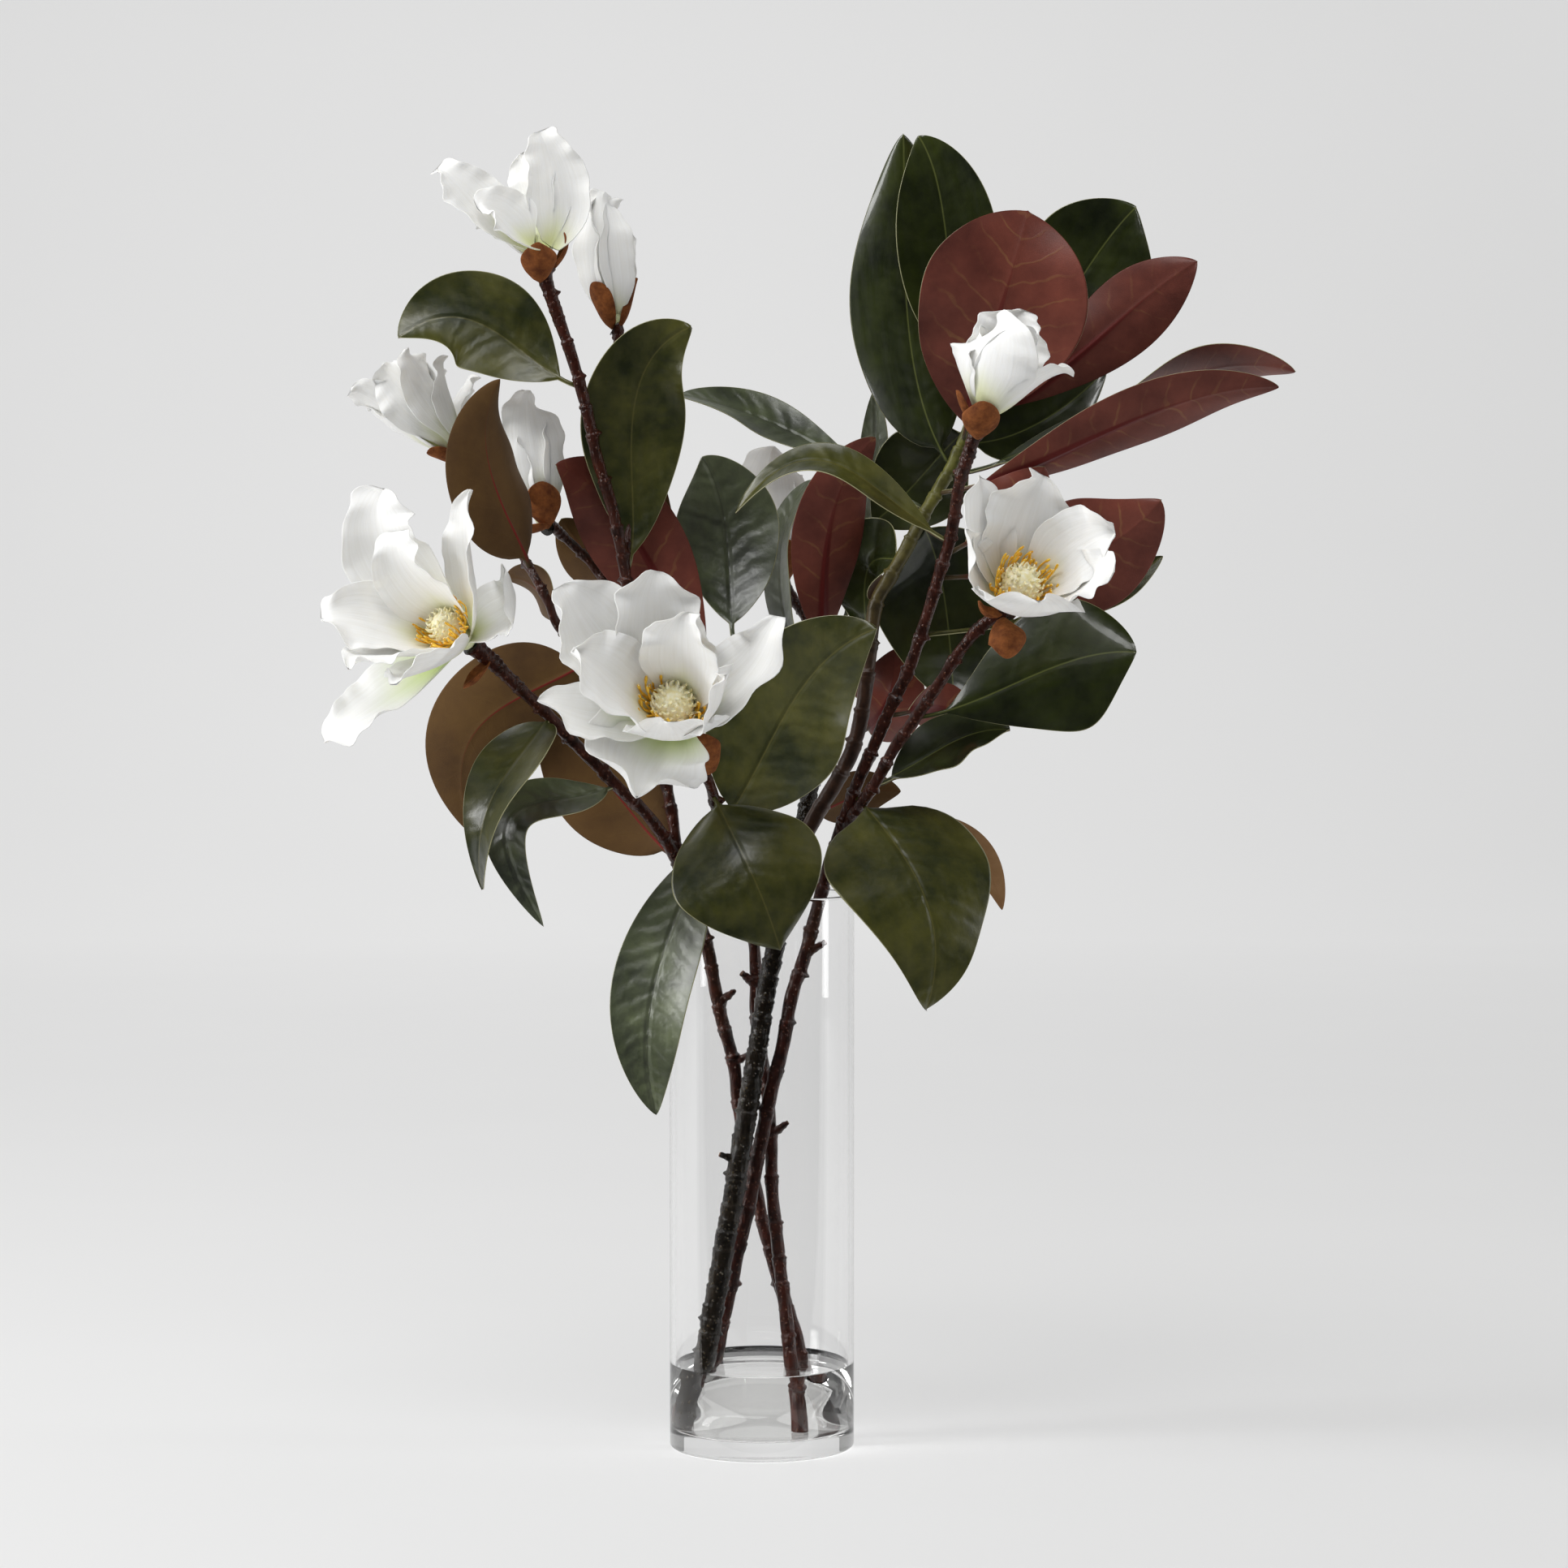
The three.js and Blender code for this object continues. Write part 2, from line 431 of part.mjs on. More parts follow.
function branch(name, grow) {
  const parts = [];
  for (const key of BRANCHES[name].stems) {
    const { r, sides } = STEMS[key];
    parts.push(tube(lines[key], (t) => r[0] + (r[1] - r[0]) * t, sides, grow));
    for (const [stem, height, dir, len] of STUBS) {
      if (stem !== key) continue;
      const { p, r: thick } = passing(key, height);
      const d = new V3(...dir).normalize();
      const end = p.clone().addScaledVector(d, thick + len);
      parts.push(tube([p, end], (t) => 2.4 - t, 5, grow));
    }
    for (const b of Object.values(BLOOMS).filter((v) => v.stem === key)) {
      const { heart, axis } = bloomFrame(b);
      const line = lines[key];
      const from = line[line.length - 1];
      const to = heart.clone().addScaledVector(axis, -CORE_R);
      parts.push(tube([line[line.length - 2], from, to], (t) => r[1] + 2.4 * t ** 2, 6, grow));
      for (const s of b.scales) {
        parts.push(bloomBlade(b, s, {
          rows: 3, cols: 2, width: scaleWidth, cup: 0.6, half: () => SCALE_HALF + grow, grow,
        }));
      }
    }
  }
  return wasm.Manifold.union(parts).trimByPlane([0, 0, 1], FLOOR + GAP + 0.1);
}

const bodies = {};
const grown = {};
for (const [name, spec] of Object.entries(BRANCHES)) {
  bodies[name] = biggest(branch(name, 0));
  grown[name] = branch(name, GAP + SIMPLE);
  addNode(name, bodies[name], spec.colour, { roughness: 0.7 });
}
const branchOf = (key) => Object.keys(BRANCHES).find((n) => BRANCHES[n].stems.includes(key));

// ---- vase and water ----
const inner = VASE_R - WALL;
const vase = turned([
  [0, 0], [VASE_R - ROUND, 0], [VASE_R, ROUND], [VASE_R, VASE_H - ROUND / 2],
  [VASE_R - WALL / 2, VASE_H], [inner, VASE_H - ROUND / 2], [inner, FLOOR + 2 * ROUND],
  [inner - 2 * ROUND, FLOOR], [0, FLOOR],
], VASE_SIDES);
addNode('vase', vase, 0xeef3f2, { transparent: true, opacity: 0.35, roughness: 0.05 });

let water = turned([
  [0, FLOOR + GAP], [inner - 2 * ROUND - GAP, FLOOR + GAP],
  [inner - GAP, FLOOR + 2 * ROUND + GAP], [inner - GAP, WATER_TOP], [0, WATER_TOP],
], VASE_SIDES);
for (const name of Object.keys(BRANCHES)) water = water.subtract(grown[name]);
addNode('water', biggest(water), 0xdfe9e6, { transparent: true, opacity: 0.35, roughness: 0.05 });

// ---- blooms ----
function cone(b, grow) {
  const R = b.cone + grow;
  const { heart, axis } = bloomFrame(b);
  const turn = new THREE.Quaternion().setFromUnitVectors(new V3(0, 0, 1), axis);
  const base = heart.clone().addScaledVector(axis, CORE_R + GAP - grow);
  const rows = [[0, 0], [0.62, 0], [0.98, 0.6], [0.86, 1.3], [0.4, 1.72], [0, 1.82]];
  const put = (v) => v.applyQuaternion(turn).add(base);
  let body = turned(rows.map(([r, z]) => [r * R, z * R]), 10).warp((v) => {
    const q = put(new V3(...v));
    [v[0], v[1], v[2]] = [q.x, q.y, q.z];
  });
  for (let i = 0; i < STAMENS; i += 1) {
    const a = (2 * Math.PI * (i + 0.3 * Math.sin(5 * i))) / STAMENS;
    const spot = (r, z) => put(new V3(r * R * Math.cos(a), r * R * Math.sin(a), z * R));
    const reach = 1.3 + 0.12 * Math.sin(3 * i);
    const line = [spot(0.7, 0.45), spot(reach, 1.25 + 0.2 * Math.cos(7 * i))];
    body = body.add(tube(line, () => 0.8, 3, 2 * grow));
  }
  return body;
}

for (const [key, b] of Object.entries(BLOOMS)) {
  const { heart } = bloomFrame(b);
  const home = branchOf(b.stem);
  const parts = [solidOf(new THREE.SphereGeometry(CORE_R, 8, 6)).translate([heart.x, heart.y, heart.z])];
  for (const petal of b.petals) {
    parts.push(bloomBlade(b, petal, {
      rows: PETAL_ROWS, cols: PETAL_COLS, width: petalWidth, cup: 0.75,
      half: (t) => PETAL_HALF + 0.5 * Math.max(0, 0.25 - t),
    }));
  }
  let body = wasm.Manifold.union(parts).subtract(grown[home]);
  if (b.cone) {
    body = body.subtract(cone(b, GAP + SIMPLE));
    addNode(`stamens_${key}`, cone(b, 0), 0xe6d9a0, { roughness: 0.8 });
  }
  addNode(`bloom_${key}`, biggest(body), 0xf3f1e8, { roughness: 0.5 });
}

// ---- leaves ----
const leafWidth = (w, belly) => (t) => {
  const stalk = (2 * PETIOLE_HALF) / w;
  if (t < STALK) return stalk;
  const u = (t - STALK) / (1 - STALK);
  return Math.max(stalk, Math.sin(Math.PI * u ** belly) ** 0.72);
};
for (const [name, [stem, height, mid, tip, w, face, cup, belly = 0.95, twist]] of Object.entries(LEAVES)) {
  const { p: c, t, r } = passing(stem, height);
  const m = at(mid);
  const d = m.clone().sub(c);
  d.addScaledVector(t, -d.dot(t)).normalize();
  const a = c.clone().addScaledVector(d, 0.5 * r);
  const lead = m.clone().sub(a).normalize().multiplyScalar(0.75).addScaledVector(d, 0.45);
  const body = blade({
    a, m, p: at(tip), lead, face: new V3(...face), w, rows: w < SMALL_LEAF ? LEAF_ROWS - 1 : LEAF_ROWS,
    cols: w < SMALL_LEAF ? LEAF_COLS / 2 : LEAF_COLS,
    width: leafWidth(w, belly), cup, twist,
    half: (s, x) => LEAF_HALF + (PETIOLE_HALF - LEAF_HALF) * Math.max(0, 1 - 3 * s) * (1 - x * x),
  });
  addNode(name, biggest(body.subtract(grown[branchOf(stem)])), LEAF_GREEN, { roughness: 0.4 });
}

export default group;
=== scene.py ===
# Magnolia branches in a tall clear glass cylinder vase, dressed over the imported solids.
# The plant is written in millimetres on a front elevation and built in metres.
import math

import bpy
import numpy as np
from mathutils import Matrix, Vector


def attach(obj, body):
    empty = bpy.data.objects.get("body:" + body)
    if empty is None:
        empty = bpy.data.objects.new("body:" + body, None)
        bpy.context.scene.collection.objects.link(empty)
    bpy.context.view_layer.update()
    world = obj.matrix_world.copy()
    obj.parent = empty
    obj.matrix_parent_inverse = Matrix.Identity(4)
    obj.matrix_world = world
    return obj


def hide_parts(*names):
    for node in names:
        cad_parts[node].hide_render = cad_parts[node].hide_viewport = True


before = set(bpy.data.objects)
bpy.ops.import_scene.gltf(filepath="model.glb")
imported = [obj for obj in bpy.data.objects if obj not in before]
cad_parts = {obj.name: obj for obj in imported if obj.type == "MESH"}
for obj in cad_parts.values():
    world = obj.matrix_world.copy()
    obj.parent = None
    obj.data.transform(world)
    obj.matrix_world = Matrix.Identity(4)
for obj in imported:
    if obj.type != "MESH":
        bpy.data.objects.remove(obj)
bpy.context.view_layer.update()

MM = 0.001

# The eye that the front elevation is drawn from: across, up and distance, in mm.
EYE_X, EYE_Z, EYE_FAR = 12.0, 453.0, 2213.0
EYE_DROP = 2.43  # degrees that the view looks down
LENS, SENSOR = 94.2, 36.0

# Vase and water, mm
VASE_R, VASE_H, WALL, GLASS_FLOOR, WATER_TOP = 50.0, 300.0, 3.0, 10.0, 44.0
CORE_R = 5.5  # heart of a bloom
PETIOLE_HALF = 1.2
STALK = 0.07  # share of a leaf's length that is its stalk
LEAD = 0.28  # how far a blade keeps the way it starts, as a share of its length
WELL = 3.0  # corner inside the base of the vase, mm
SOAK = 0.08  # how far the water reaches into the glass, so that no air film shows between them
CREEP_WIDE, CREEP_HIGH = 3.2, 1.6  # how the water creeps up the wall, mm
VASE_SIDES = 160
UNDER = 0.0003  # how far the paper lies below the vase, m
LEAF_HALF, PETAL_HALF, SCALE_HALF = 0.3, 0.32, 0.62  # half thicknesses, mm
LEAF_ROWS, PETAL_ROWS, SCALE_ROWS = 52, 34, 20
ROD_STEP = 0.9  # longest step along a rod, mm
STUB_R = (2.9, 1.2)  # radius of a cut twig stub at its foot and end, mm
CARPELS, STAMENS = 78, 64

# Stems: (radius at the foot, at the end), centre points on the elevation with their depth.
STEMS = {
    "T": ((6, 4.2), (
        (-38, -8, 6), (-32, -8, 40), (-16, -8, 133), (-8, -6, 181), (-1, -4, 225), (6, 0, 266),
        (15, 4, 305), (22, 14, 335), (27, 30, 364), (31, 48, 397), (33, 58, 432),
    )),
    "OL": ((4.6, 3), (
        (20, 9, 325), (31, 4, 345), (42, 0, 364), (51, -3, 383), (57, -3, 419), (61, 0, 454),
        (69, 2, 470), (81, 5, 492), (93, 8, 514), (104, 10, 534), (111, 12, 550), (116, 14, 566),
        (118, 15, 577),
    )),
    "S1": ((3.9, 3.2), (
        (24, 20, 4), (21, 14, 49), (7, 20, 97), (-2, 22, 133), (-12, 14, 180), (-15, 12, 207),
        (-22, 10, 232), (-30, 6, 272), (-41, 4, 304), (-49, -2, 324), (-61, -10, 341),
        (-75, -18, 355), (-97, -30, 377), (-116, -40, 397), (-132, -48, 412), (-144, -55, 424),
    )),
    "S1b": ((3.2, 3.2), (
        (-45, 0, 317), (-50, 5, 351), (-58, 8, 388), (-67, 8, 432), (-73, 4, 469), (-79, -1, 502),
        (-89, -6, 537), (-98, -10, 576), (-108, -14, 606), (-116, -18, 630),
    )),
    "P2": ((2.4, 2.6), (
        (-74, 4, 475), (-72, 14, 502), (-72, 24, 537), (-73, 27, 576), (-77, 26, 601),
    )),
    "P4": ((2.4, 2.6), (
        (-67, 8, 436), (-78, 32, 458), (-93, 42, 479), (-106, 36, 492), (-113, 28, 498),
    )),
    "P3": ((2.6, 2.4), (
        (-57, 8, 386), (-82, 9, 410), (-108, 4, 442), (-115, 0, 457), (-122, 2, 470),
        (-130, 14, 484), (-148, 28, 510), (-160, 34, 532),
    )),
    "S2": ((3.9, 2.8), (
        (17, -12, 4), (16, -8, 40), (10, 0, 97), (6, 6, 133), (4, 10, 182), (-3, 11, 233),
        (-4, 10, 272), (-10, 4, 298), (-17, -12, 322), (-24, -34, 344), (-29, -56, 361),
        (-40, -68, 382),
    )),
    "S2b": ((2.6, 2.2), (
        (-14, -6, 311), (-14, 0, 344), (-15, 8, 379), (-15, 14, 410), (-15, 16, 436),
    )),
    "S3": ((4.3, 3), (
        (-31, 14, 4), (-25, 10, 49), (-13, 6, 106), (-7, 4, 132), (-1, 2, 163), (5, -3, 192),
        (12, -3, 221), (17, -3, 248), (24, -4, 269), (31, -6, 296), (40, -12, 327), (52, -22, 360),
        (68, -30, 397), (82, -40, 428), (95, -52, 470), (101, -60, 489), (107, -76, 523),
        (116, -86, 551),
    )),
    "B": ((3.2, 3), (
        (43, -14, 333), (60, -32, 358), (74, -44, 382), (95, -62, 412), (104, -70, 427),
        (118, -80, 444), (130, -83, 452),
    )),
    "P7": ((2.4, 2.4), (
        (33, 56, 424), (26, 70, 445), (14, 82, 464),
    )),
}
STUBS = (
    ("S1", 240, (0.8, -0.4, 0.6), 9),
    ("S1", 207, (0.8, -0.5, 0.5), 7),
    ("T", 156, (-0.9, -0.3, 0.3), 6),
    ("S3", 268, (0.9, -0.2, 0.5), 9),
    ("S2", 168, (0.8, -0.3, 0.6), 9),
    ("S2", 250, (-0.7, -0.3, 0.6), 7),
)
LEAVES = {
    "leaf_01": ("S1b", 573, (-148, 2, 605), (-195, -8, 599), 58, (-0.1, -0.92, 0.35), 0.3, 1),
    "leaf_02": ("S1b", 473, (-70, 12, 547), (-38, -4, 605), 58, (0.12, -0.97, 0.1), 0.4, 1.15),
    "leaf_03": ("P3", 475, (-145, -14, 523), (-141, -14, 577), 52, (-0.6, 0.75, 0.1), 0.7, 0.75),
    "leaf_04": ("S2b", 415, (-68, 24, 491), (-111, 8, 531), 52, (0.2, 0.9, -0.3), 0.3, 0.9),
    "leaf_05": ("P4", 452, (-62, 62, 490), (-54, 66, 524), 30, (0, 0.95, 0.1), 0.3),
    "leaf_06": ("P4", 466, (-94, 56, 482), (-108, 52, 502), 30, (0, 0.95, 0.1), 0.3),
    "leaf_07": ("P3", 445, (-120, 22, 463), (-138, 34, 470), 30, (0, 0.7, 0.7), 0.3),
    "leaf_08": ("P3", 425, (-142, -4, 399), (-156, -8, 332), 62, (0.1, 0.95, 0.2), 0.3, 0.8),
    "leaf_09": ("S1", 396, (-137, -60, 366), (-151, -52, 302), 44, (-0.55, -0.7, 0.45), 0.4, 0.75),
    "leaf_10": ("S1", 360, (-123, -44, 348), (-118, -38, 282), 36, (-0.4, -0.7, 0.55), 0.3),
    "leaf_11": ("S1", 320, (-82, 18, 358), (-124, 12, 395), 61, (0, 0.95, -0.2), 0.3),
    "leaf_12": ("S2", 338, (13, -26, 397), (62, -42, 443), 76, (-0.1, -0.95, 0.25), 0.25, 0.82),
    "leaf_13": ("S2b", 436, (-19, 46, 493), (-32, 42, 535), 60, (0.1, -0.9, 0.4), 0.4),
    "leaf_14": ("T", 410, (10, 58, 475), (27, 52, 523), 30, (-0.8, -0.4, 0.2), 0.4),
    "leaf_15": ("OL", 507, (8, 62, 552), (-44, 46, 568), 36, (0, -0.6, 0.8), 0.4, 1.35),
    "leaf_16": ("S3", 489, (45, -56, 529), (-14, -40, 505), 28, (0, -0.6, 0.8), 0.4),
    "leaf_17": ("S2", 356, (-7, -74, 314), (10, -68, 269), 83, (0.1, -0.95, 0.3), -0.3, 0.85),
    "leaf_18": ("S2", 340, (-55, -60, 262), (-57, -50, 180), 47, (-0.35, -0.9, 0.2), 0.3, 1),
    "leaf_19": ("S3", 354, (88, -62, 298), (89, -58, 237), 90, (0.45, -0.89, 0.0), -0.12, 0.55),
    "leaf_20": ("S3", 344, (104, -4, 329), (130, -6, 291), 22, (0.2, 0.9, 0.2), 0.3),
    "leaf_21": ("T", 344, (49, 42, 352), (75, 44, 355), 28, (0, 0.95, 0.2), 0.3),
    "leaf_22": ("B", 397, (152, -54, 420), (202, -62, 430), 72, (0.15, -0.93, 0.3), -0.3, 1.25),
    "leaf_23": ("B", 360, (102, -20, 381), (134, -24, 388), 46, (0, -0.5, 0.85), 0.3),
    "leaf_24": ("OL", 545, (126, -28, 607), (143, -20, 667), 92, (0, 0.95, 0.2), -0.3, 1.15),
    "leaf_25": ("OL", 531, (78, 22, 615), (76, 18, 708), 64, (-0.1, -0.95, 0.1), -0.5, 0.82),
    "leaf_26": ("OL", 575, (101, 2, 636), (84, 0, 707), 56, (0, -1, 0.1), 0.3, 1.15),
    "leaf_27": ("OL", 567, (171, 38, 630), (201, 34, 669), 68, (0.1, -0.97, 0.2), 0.2, 1.2),
    "leaf_28": ("OL", 557, (185, 12, 602), (234, 4, 640), 42, (-0.1, 0.95, -0.2), 0.3, 1.25),
    "leaf_29": ("OL", 527, (210, -4, 572), (287, -28, 581), 46, (0, 0.1, 1), 0.3, 0.95, -1.6),
    "leaf_30": ("OL", 517, (200, -34, 555), (278, -48, 573), 38, (0, 0.75, 0.65), 0.3),
    "leaf_31": ("T", 425, (36, 24, 493), (61, 9, 546), 40, (-0.3, 0.9, 0.1), 0.3),
    "leaf_32": ("OL", 500, (98, 34, 462), (104, 28, 400), 80, (0, -0.95, 0.1), 0.3),
    "leaf_33": ("S3", 470, (169, -28, 480), (215, -36, 512), 62, (0, 0.95, 0.1), 0.3),
    "leaf_34": ("S3", 482, (134, -20, 506), (152, -22, 530), 38, (0, 0.95, 0.1), 0.3),
    "leaf_35": ("OL", 386, (68, 50, 404), (72, 56, 432), 44, (0, 0.95, 0.1), 0.3),
    "leaf_36": ("OL", 480, (60, 40, 479), (57, 42, 437), 50, (0, -0.95, 0.1), 0.4),
    "leaf_37": ("T", 428, (60, 62, 520), (61, 54, 572), 23, (-0.6, -0.7, 0.1), 0.3),
    "leaf_38": ("S3", 440, (185, -6, 462), (216, -8, 482), 20, (0, -0.9, 0.4), 0.3),
    "leaf_39": ("OL", 543, (150, 30, 554), (185, 24, 582), 43, (0, -0.9, 0.4), 0.3, 0.75),
    "leaf_40": ("S3", 397, (97, 8, 400), (115, 10, 398), 28, (0, 0.95, 0.1), 0.3),
    "leaf_41": ("OL", 550, (88, 38, 527), (60, 44, 500), 56, (0, -0.95, 0.1), 0.3),
}
BLOOMS = {
    "1": dict(stem="S1b", heart=(-118, -18, 642), axis=(-0.35, -0.1, 0.93), cone=0, petals=(
        ((-151, -26, 670), (-174, -24, 691), 34, (-121, -23, 648), (0.3, -0.8, 0.5)),
        ((-137, -34, 662), (-152, -40, 670), 42, (-122, -28, 648), (0.3, -0.6, 0.7)),
        ((-110, -14, 676), (-119, -12, 710), 37, (-114, -18, 648), (0.2, -0.9, 0.3)),
        ((-121, -4, 679), (-129, 0, 698), 30), ((-134, -12, 651), (-152, -8, 660), 32),
        ((-112, 2, 666), (-119, 8, 689), 38),
    ), scales=(
        ((-119, -31, 639), (-120, -32, 650), 22, (-118, -20, 629)),
        ((-105, -14, 646), (-107, -13, 657), 12, (-114, -16, 634)),
    )),
    "2": dict(stem="P2", heart=(-79, 26, 610), axis=(-0.1, 0, 1), cone=0, petals=(
        ((-92, 26, 640), (-90, 26, 677), 30), ((-76, 24, 645), (-77, 24, 674), 38),
        ((-85, 14, 639), (-85, 20, 676), 34), ((-83, 38, 641), (-82, 30, 671), 34),
    ), scales=(
        ((-87, 16, 618), (-90, 13, 629), 16, (-80, 24, 604)),
        ((-70, 24, 619), (-67, 22, 631), 12, (-77, 25, 604)),
    )),
    "3": dict(stem="P3", heart=(-165, 34, 540), axis=(-0.75, -0.05, 0.65), cone=0, petals=(
        ((-199, 24, 559), (-221, 20, 572), 34), ((-188, 18, 568), (-205, 14, 584), 37),
        ((-178, 22, 572), (-192, 18, 593), 39), ((-168, 30, 568), (-171, 28, 590), 39),
        ((-159, 44, 560), (-153, 48, 579), 34), ((-189, 36, 551), (-212, 38, 562), 32),
        ((-182, 48, 569), (-199, 52, 585), 39),
    ), scales=(
        ((-172, 27, 535), (-180, 24, 538), 13, (-161, 34, 533)),
    )),
    "4": dict(stem="P4", heart=(-117, 24, 503), axis=(-0.2, 0, 1), cone=0, petals=(
        ((-131, 22, 526), (-136, 20, 550), 30), ((-122, 12, 537), (-126, 18, 570), 36),
        ((-112, 24, 536), (-112, 26, 557), 31), ((-121, 36, 534), (-123, 32, 560), 32),
    ), scales=(
        ((-117, 10, 510), (-119, 7, 522), 22, (-115, 24, 497)),
        ((-122, 18, 495), (-129, 15, 496), 14, (-114, 25, 498)),
    )),
    "5": dict(stem="S1", heart=(-160, -66, 437), axis=(-0.62, -0.62, 0.48), cone=9.5, petals=(
        ((-199, -70, 480), (-204, -66, 519), 49), ((-185, -84, 467), (-197, -92, 496), 45),
        ((-157, -84, 475), (-158, -96, 518), 42), ((-140, -72, 449), (-140, -92, 473), 46),
        ((-208, -78, 446), (-238, -84, 449), 47), ((-201, -92, 429), (-224, -104, 423), 48),
        ((-201, -70, 405), (-237, -72, 383), 49), ((-179, -98, 421), (-198, -116, 415), 54),
    ), scales=(
        ((-153, -62, 416), (-161, -64, 411), 15, (-147, -57, 426)),
    )),
    "6": dict(stem="S2", heart=(-46, -74, 394), axis=(-0.05, -0.85, 0.52), cone=11.5, petals=(
        ((-85, -92, 435), (-107, -102, 467), 58), ((-55, -84, 432), (-56, -98, 474), 60),
        ((-42, -104, 427), (-41, -118, 452), 48), ((-14, -86, 413), (7, -98, 450), 47),
        ((-77, -104, 412), (-102, -120, 432), 56), ((-86, -86, 395), (-120, -96, 406), 40),
        ((-61, -90, 374), (-67, -108, 353), 72), ((-45, -106, 383), (-50, -126, 394), 58),
        ((-25, -104, 399), (-21, -126, 418), 48),
    ), scales=(
        ((-31, -78, 375), (-30, -84, 386), 20, (-31, -60, 364), (0, 1, 0.3)),
    )),
    "7": dict(stem="P7", heart=(11, 84, 473), axis=(-0.1, 0, 1), cone=0, petals=(
        ((4, 74, 504), (6, 82, 540), 50), ((19, 84, 504), (20, 88, 524), 38),
        ((-3, 90, 503), (-7, 94, 519), 33), ((7, 98, 502), (8, 96, 528), 36),
    ), scales=(
        ((12, 72, 481), (12, 69, 492), 18, (13, 82, 468)),
    )),
    "8": dict(stem="S3", heart=(120, -88, 558), axis=(0.3, -0.1, 0.93), cone=0, petals=(
        ((121, -106, 589), (129, -98, 610), 56), ((132, -78, 593), (139, -82, 614), 45),
        ((146, -92, 572), (168, -94, 581), 37), ((112, -86, 584), (120, -88, 604), 35),
        ((134, -100, 584), (147, -98, 600), 37),
    ), scales=(
        ((118, -101, 554), (118, -103, 565), 23, (116, -88, 545), (0, 1, 0.3)),
        ((108, -92, 561), (105, -93, 571), 10, (117, -88, 550)),
    )),
    "9": dict(stem="B", heart=(135, -84, 457), axis=(0.25, -0.8, 0.55), cone=11, petals=(
        ((121, -96, 493), (119, -96, 525), 34), ((142, -88, 496), (153, -92, 525), 53),
        ((168, -98, 484), (190, -108, 495), 44), ((170, -104, 466), (188, -124, 475), 39),
        ((142, -110, 450), (149, -132, 459), 62), ((116, -100, 473), (112, -116, 496), 39),
    ), scales=(
        ((132, -97, 439), (132, -97, 427), 23, (130, -85, 449), (0, 1, 0.1)),
        ((120, -92, 451), (117, -94, 458), 10, (130, -84, 452)),
    )),
}

# Leaves whose back is burgundy or tan, and whose upper side is glossy or silvery, the silver
# being partly painted sheen.
BURGUNDY = {"leaf_04", "leaf_24", "leaf_28", "leaf_29", "leaf_30", "leaf_31", "leaf_33", "leaf_34",
            "leaf_35", "leaf_25", "leaf_26", "leaf_27", "leaf_39", "leaf_40", "leaf_32", "leaf_41"}
GLOSSY = {"leaf_22", "leaf_23", "leaf_25", "leaf_26", "leaf_27", "leaf_29", "leaf_32",
          "leaf_35", "leaf_36", "leaf_39", "leaf_41"}
TAN = {"leaf_20"}
SHEEN_LEAVES = {"leaf_10", "leaf_13", "leaf_14", "leaf_15", "leaf_18", "leaf_37"}
# Petals with a lime base: bloom and the petal's place in its list.
LIME = {("6", 6), ("5", 6)}


def at(point):
    """A point of the elevation, with its depth, as a true point in mm."""
    x, y, z = point
    grow = 1 + y / EYE_FAR
    return np.array((EYE_X + (x - EYE_X) * grow, y, EYE_Z + (z - EYE_Z) * grow))


def unit(v):
    return v / np.linalg.norm(v, axis=-1, keepdims=True)


def ease(x, low, high):
    """0 below low, 1 above high, and a smooth step between."""
    k = np.clip((x - low) / (high - low), 0, 1)
    return k * k * (3 - 2 * k)


def smooth(points, cuts=10):
    """A curve through the points, by Catmull and Rom."""
    p = np.array([points[0], *points, points[-1]], float)
    t = np.linspace(0, 1, cuts, endpoint=False)[:, None]
    spans = []
    for p0, p1, p2, p3 in zip(p, p[1:], p[2:], p[3:]):
        m1, m2 = (p2 - p0) / 2, (p3 - p1) / 2
        spans.append((2 * t**3 - 3 * t**2 + 1) * p1 + (t**3 - 2 * t**2 + t) * m1
                     + (3 * t**2 - 2 * t**3) * p2 + (t**3 - t**2) * m2)
    return np.vstack([*spans, p[-1:]])


def even(line, values, step):
    """The line and a value along it, with points about `step` mm apart, and the run to each."""
    legs = np.linalg.norm(np.diff(line, axis=0), axis=1)
    run = np.concatenate([[0], np.cumsum(legs)])
    s = np.linspace(0, run[-1], max(2, round(run[-1] / step)) + 1)
    return s, np.stack([np.interp(s, run, c) for c in line.T], axis=1), np.interp(s, run, values)


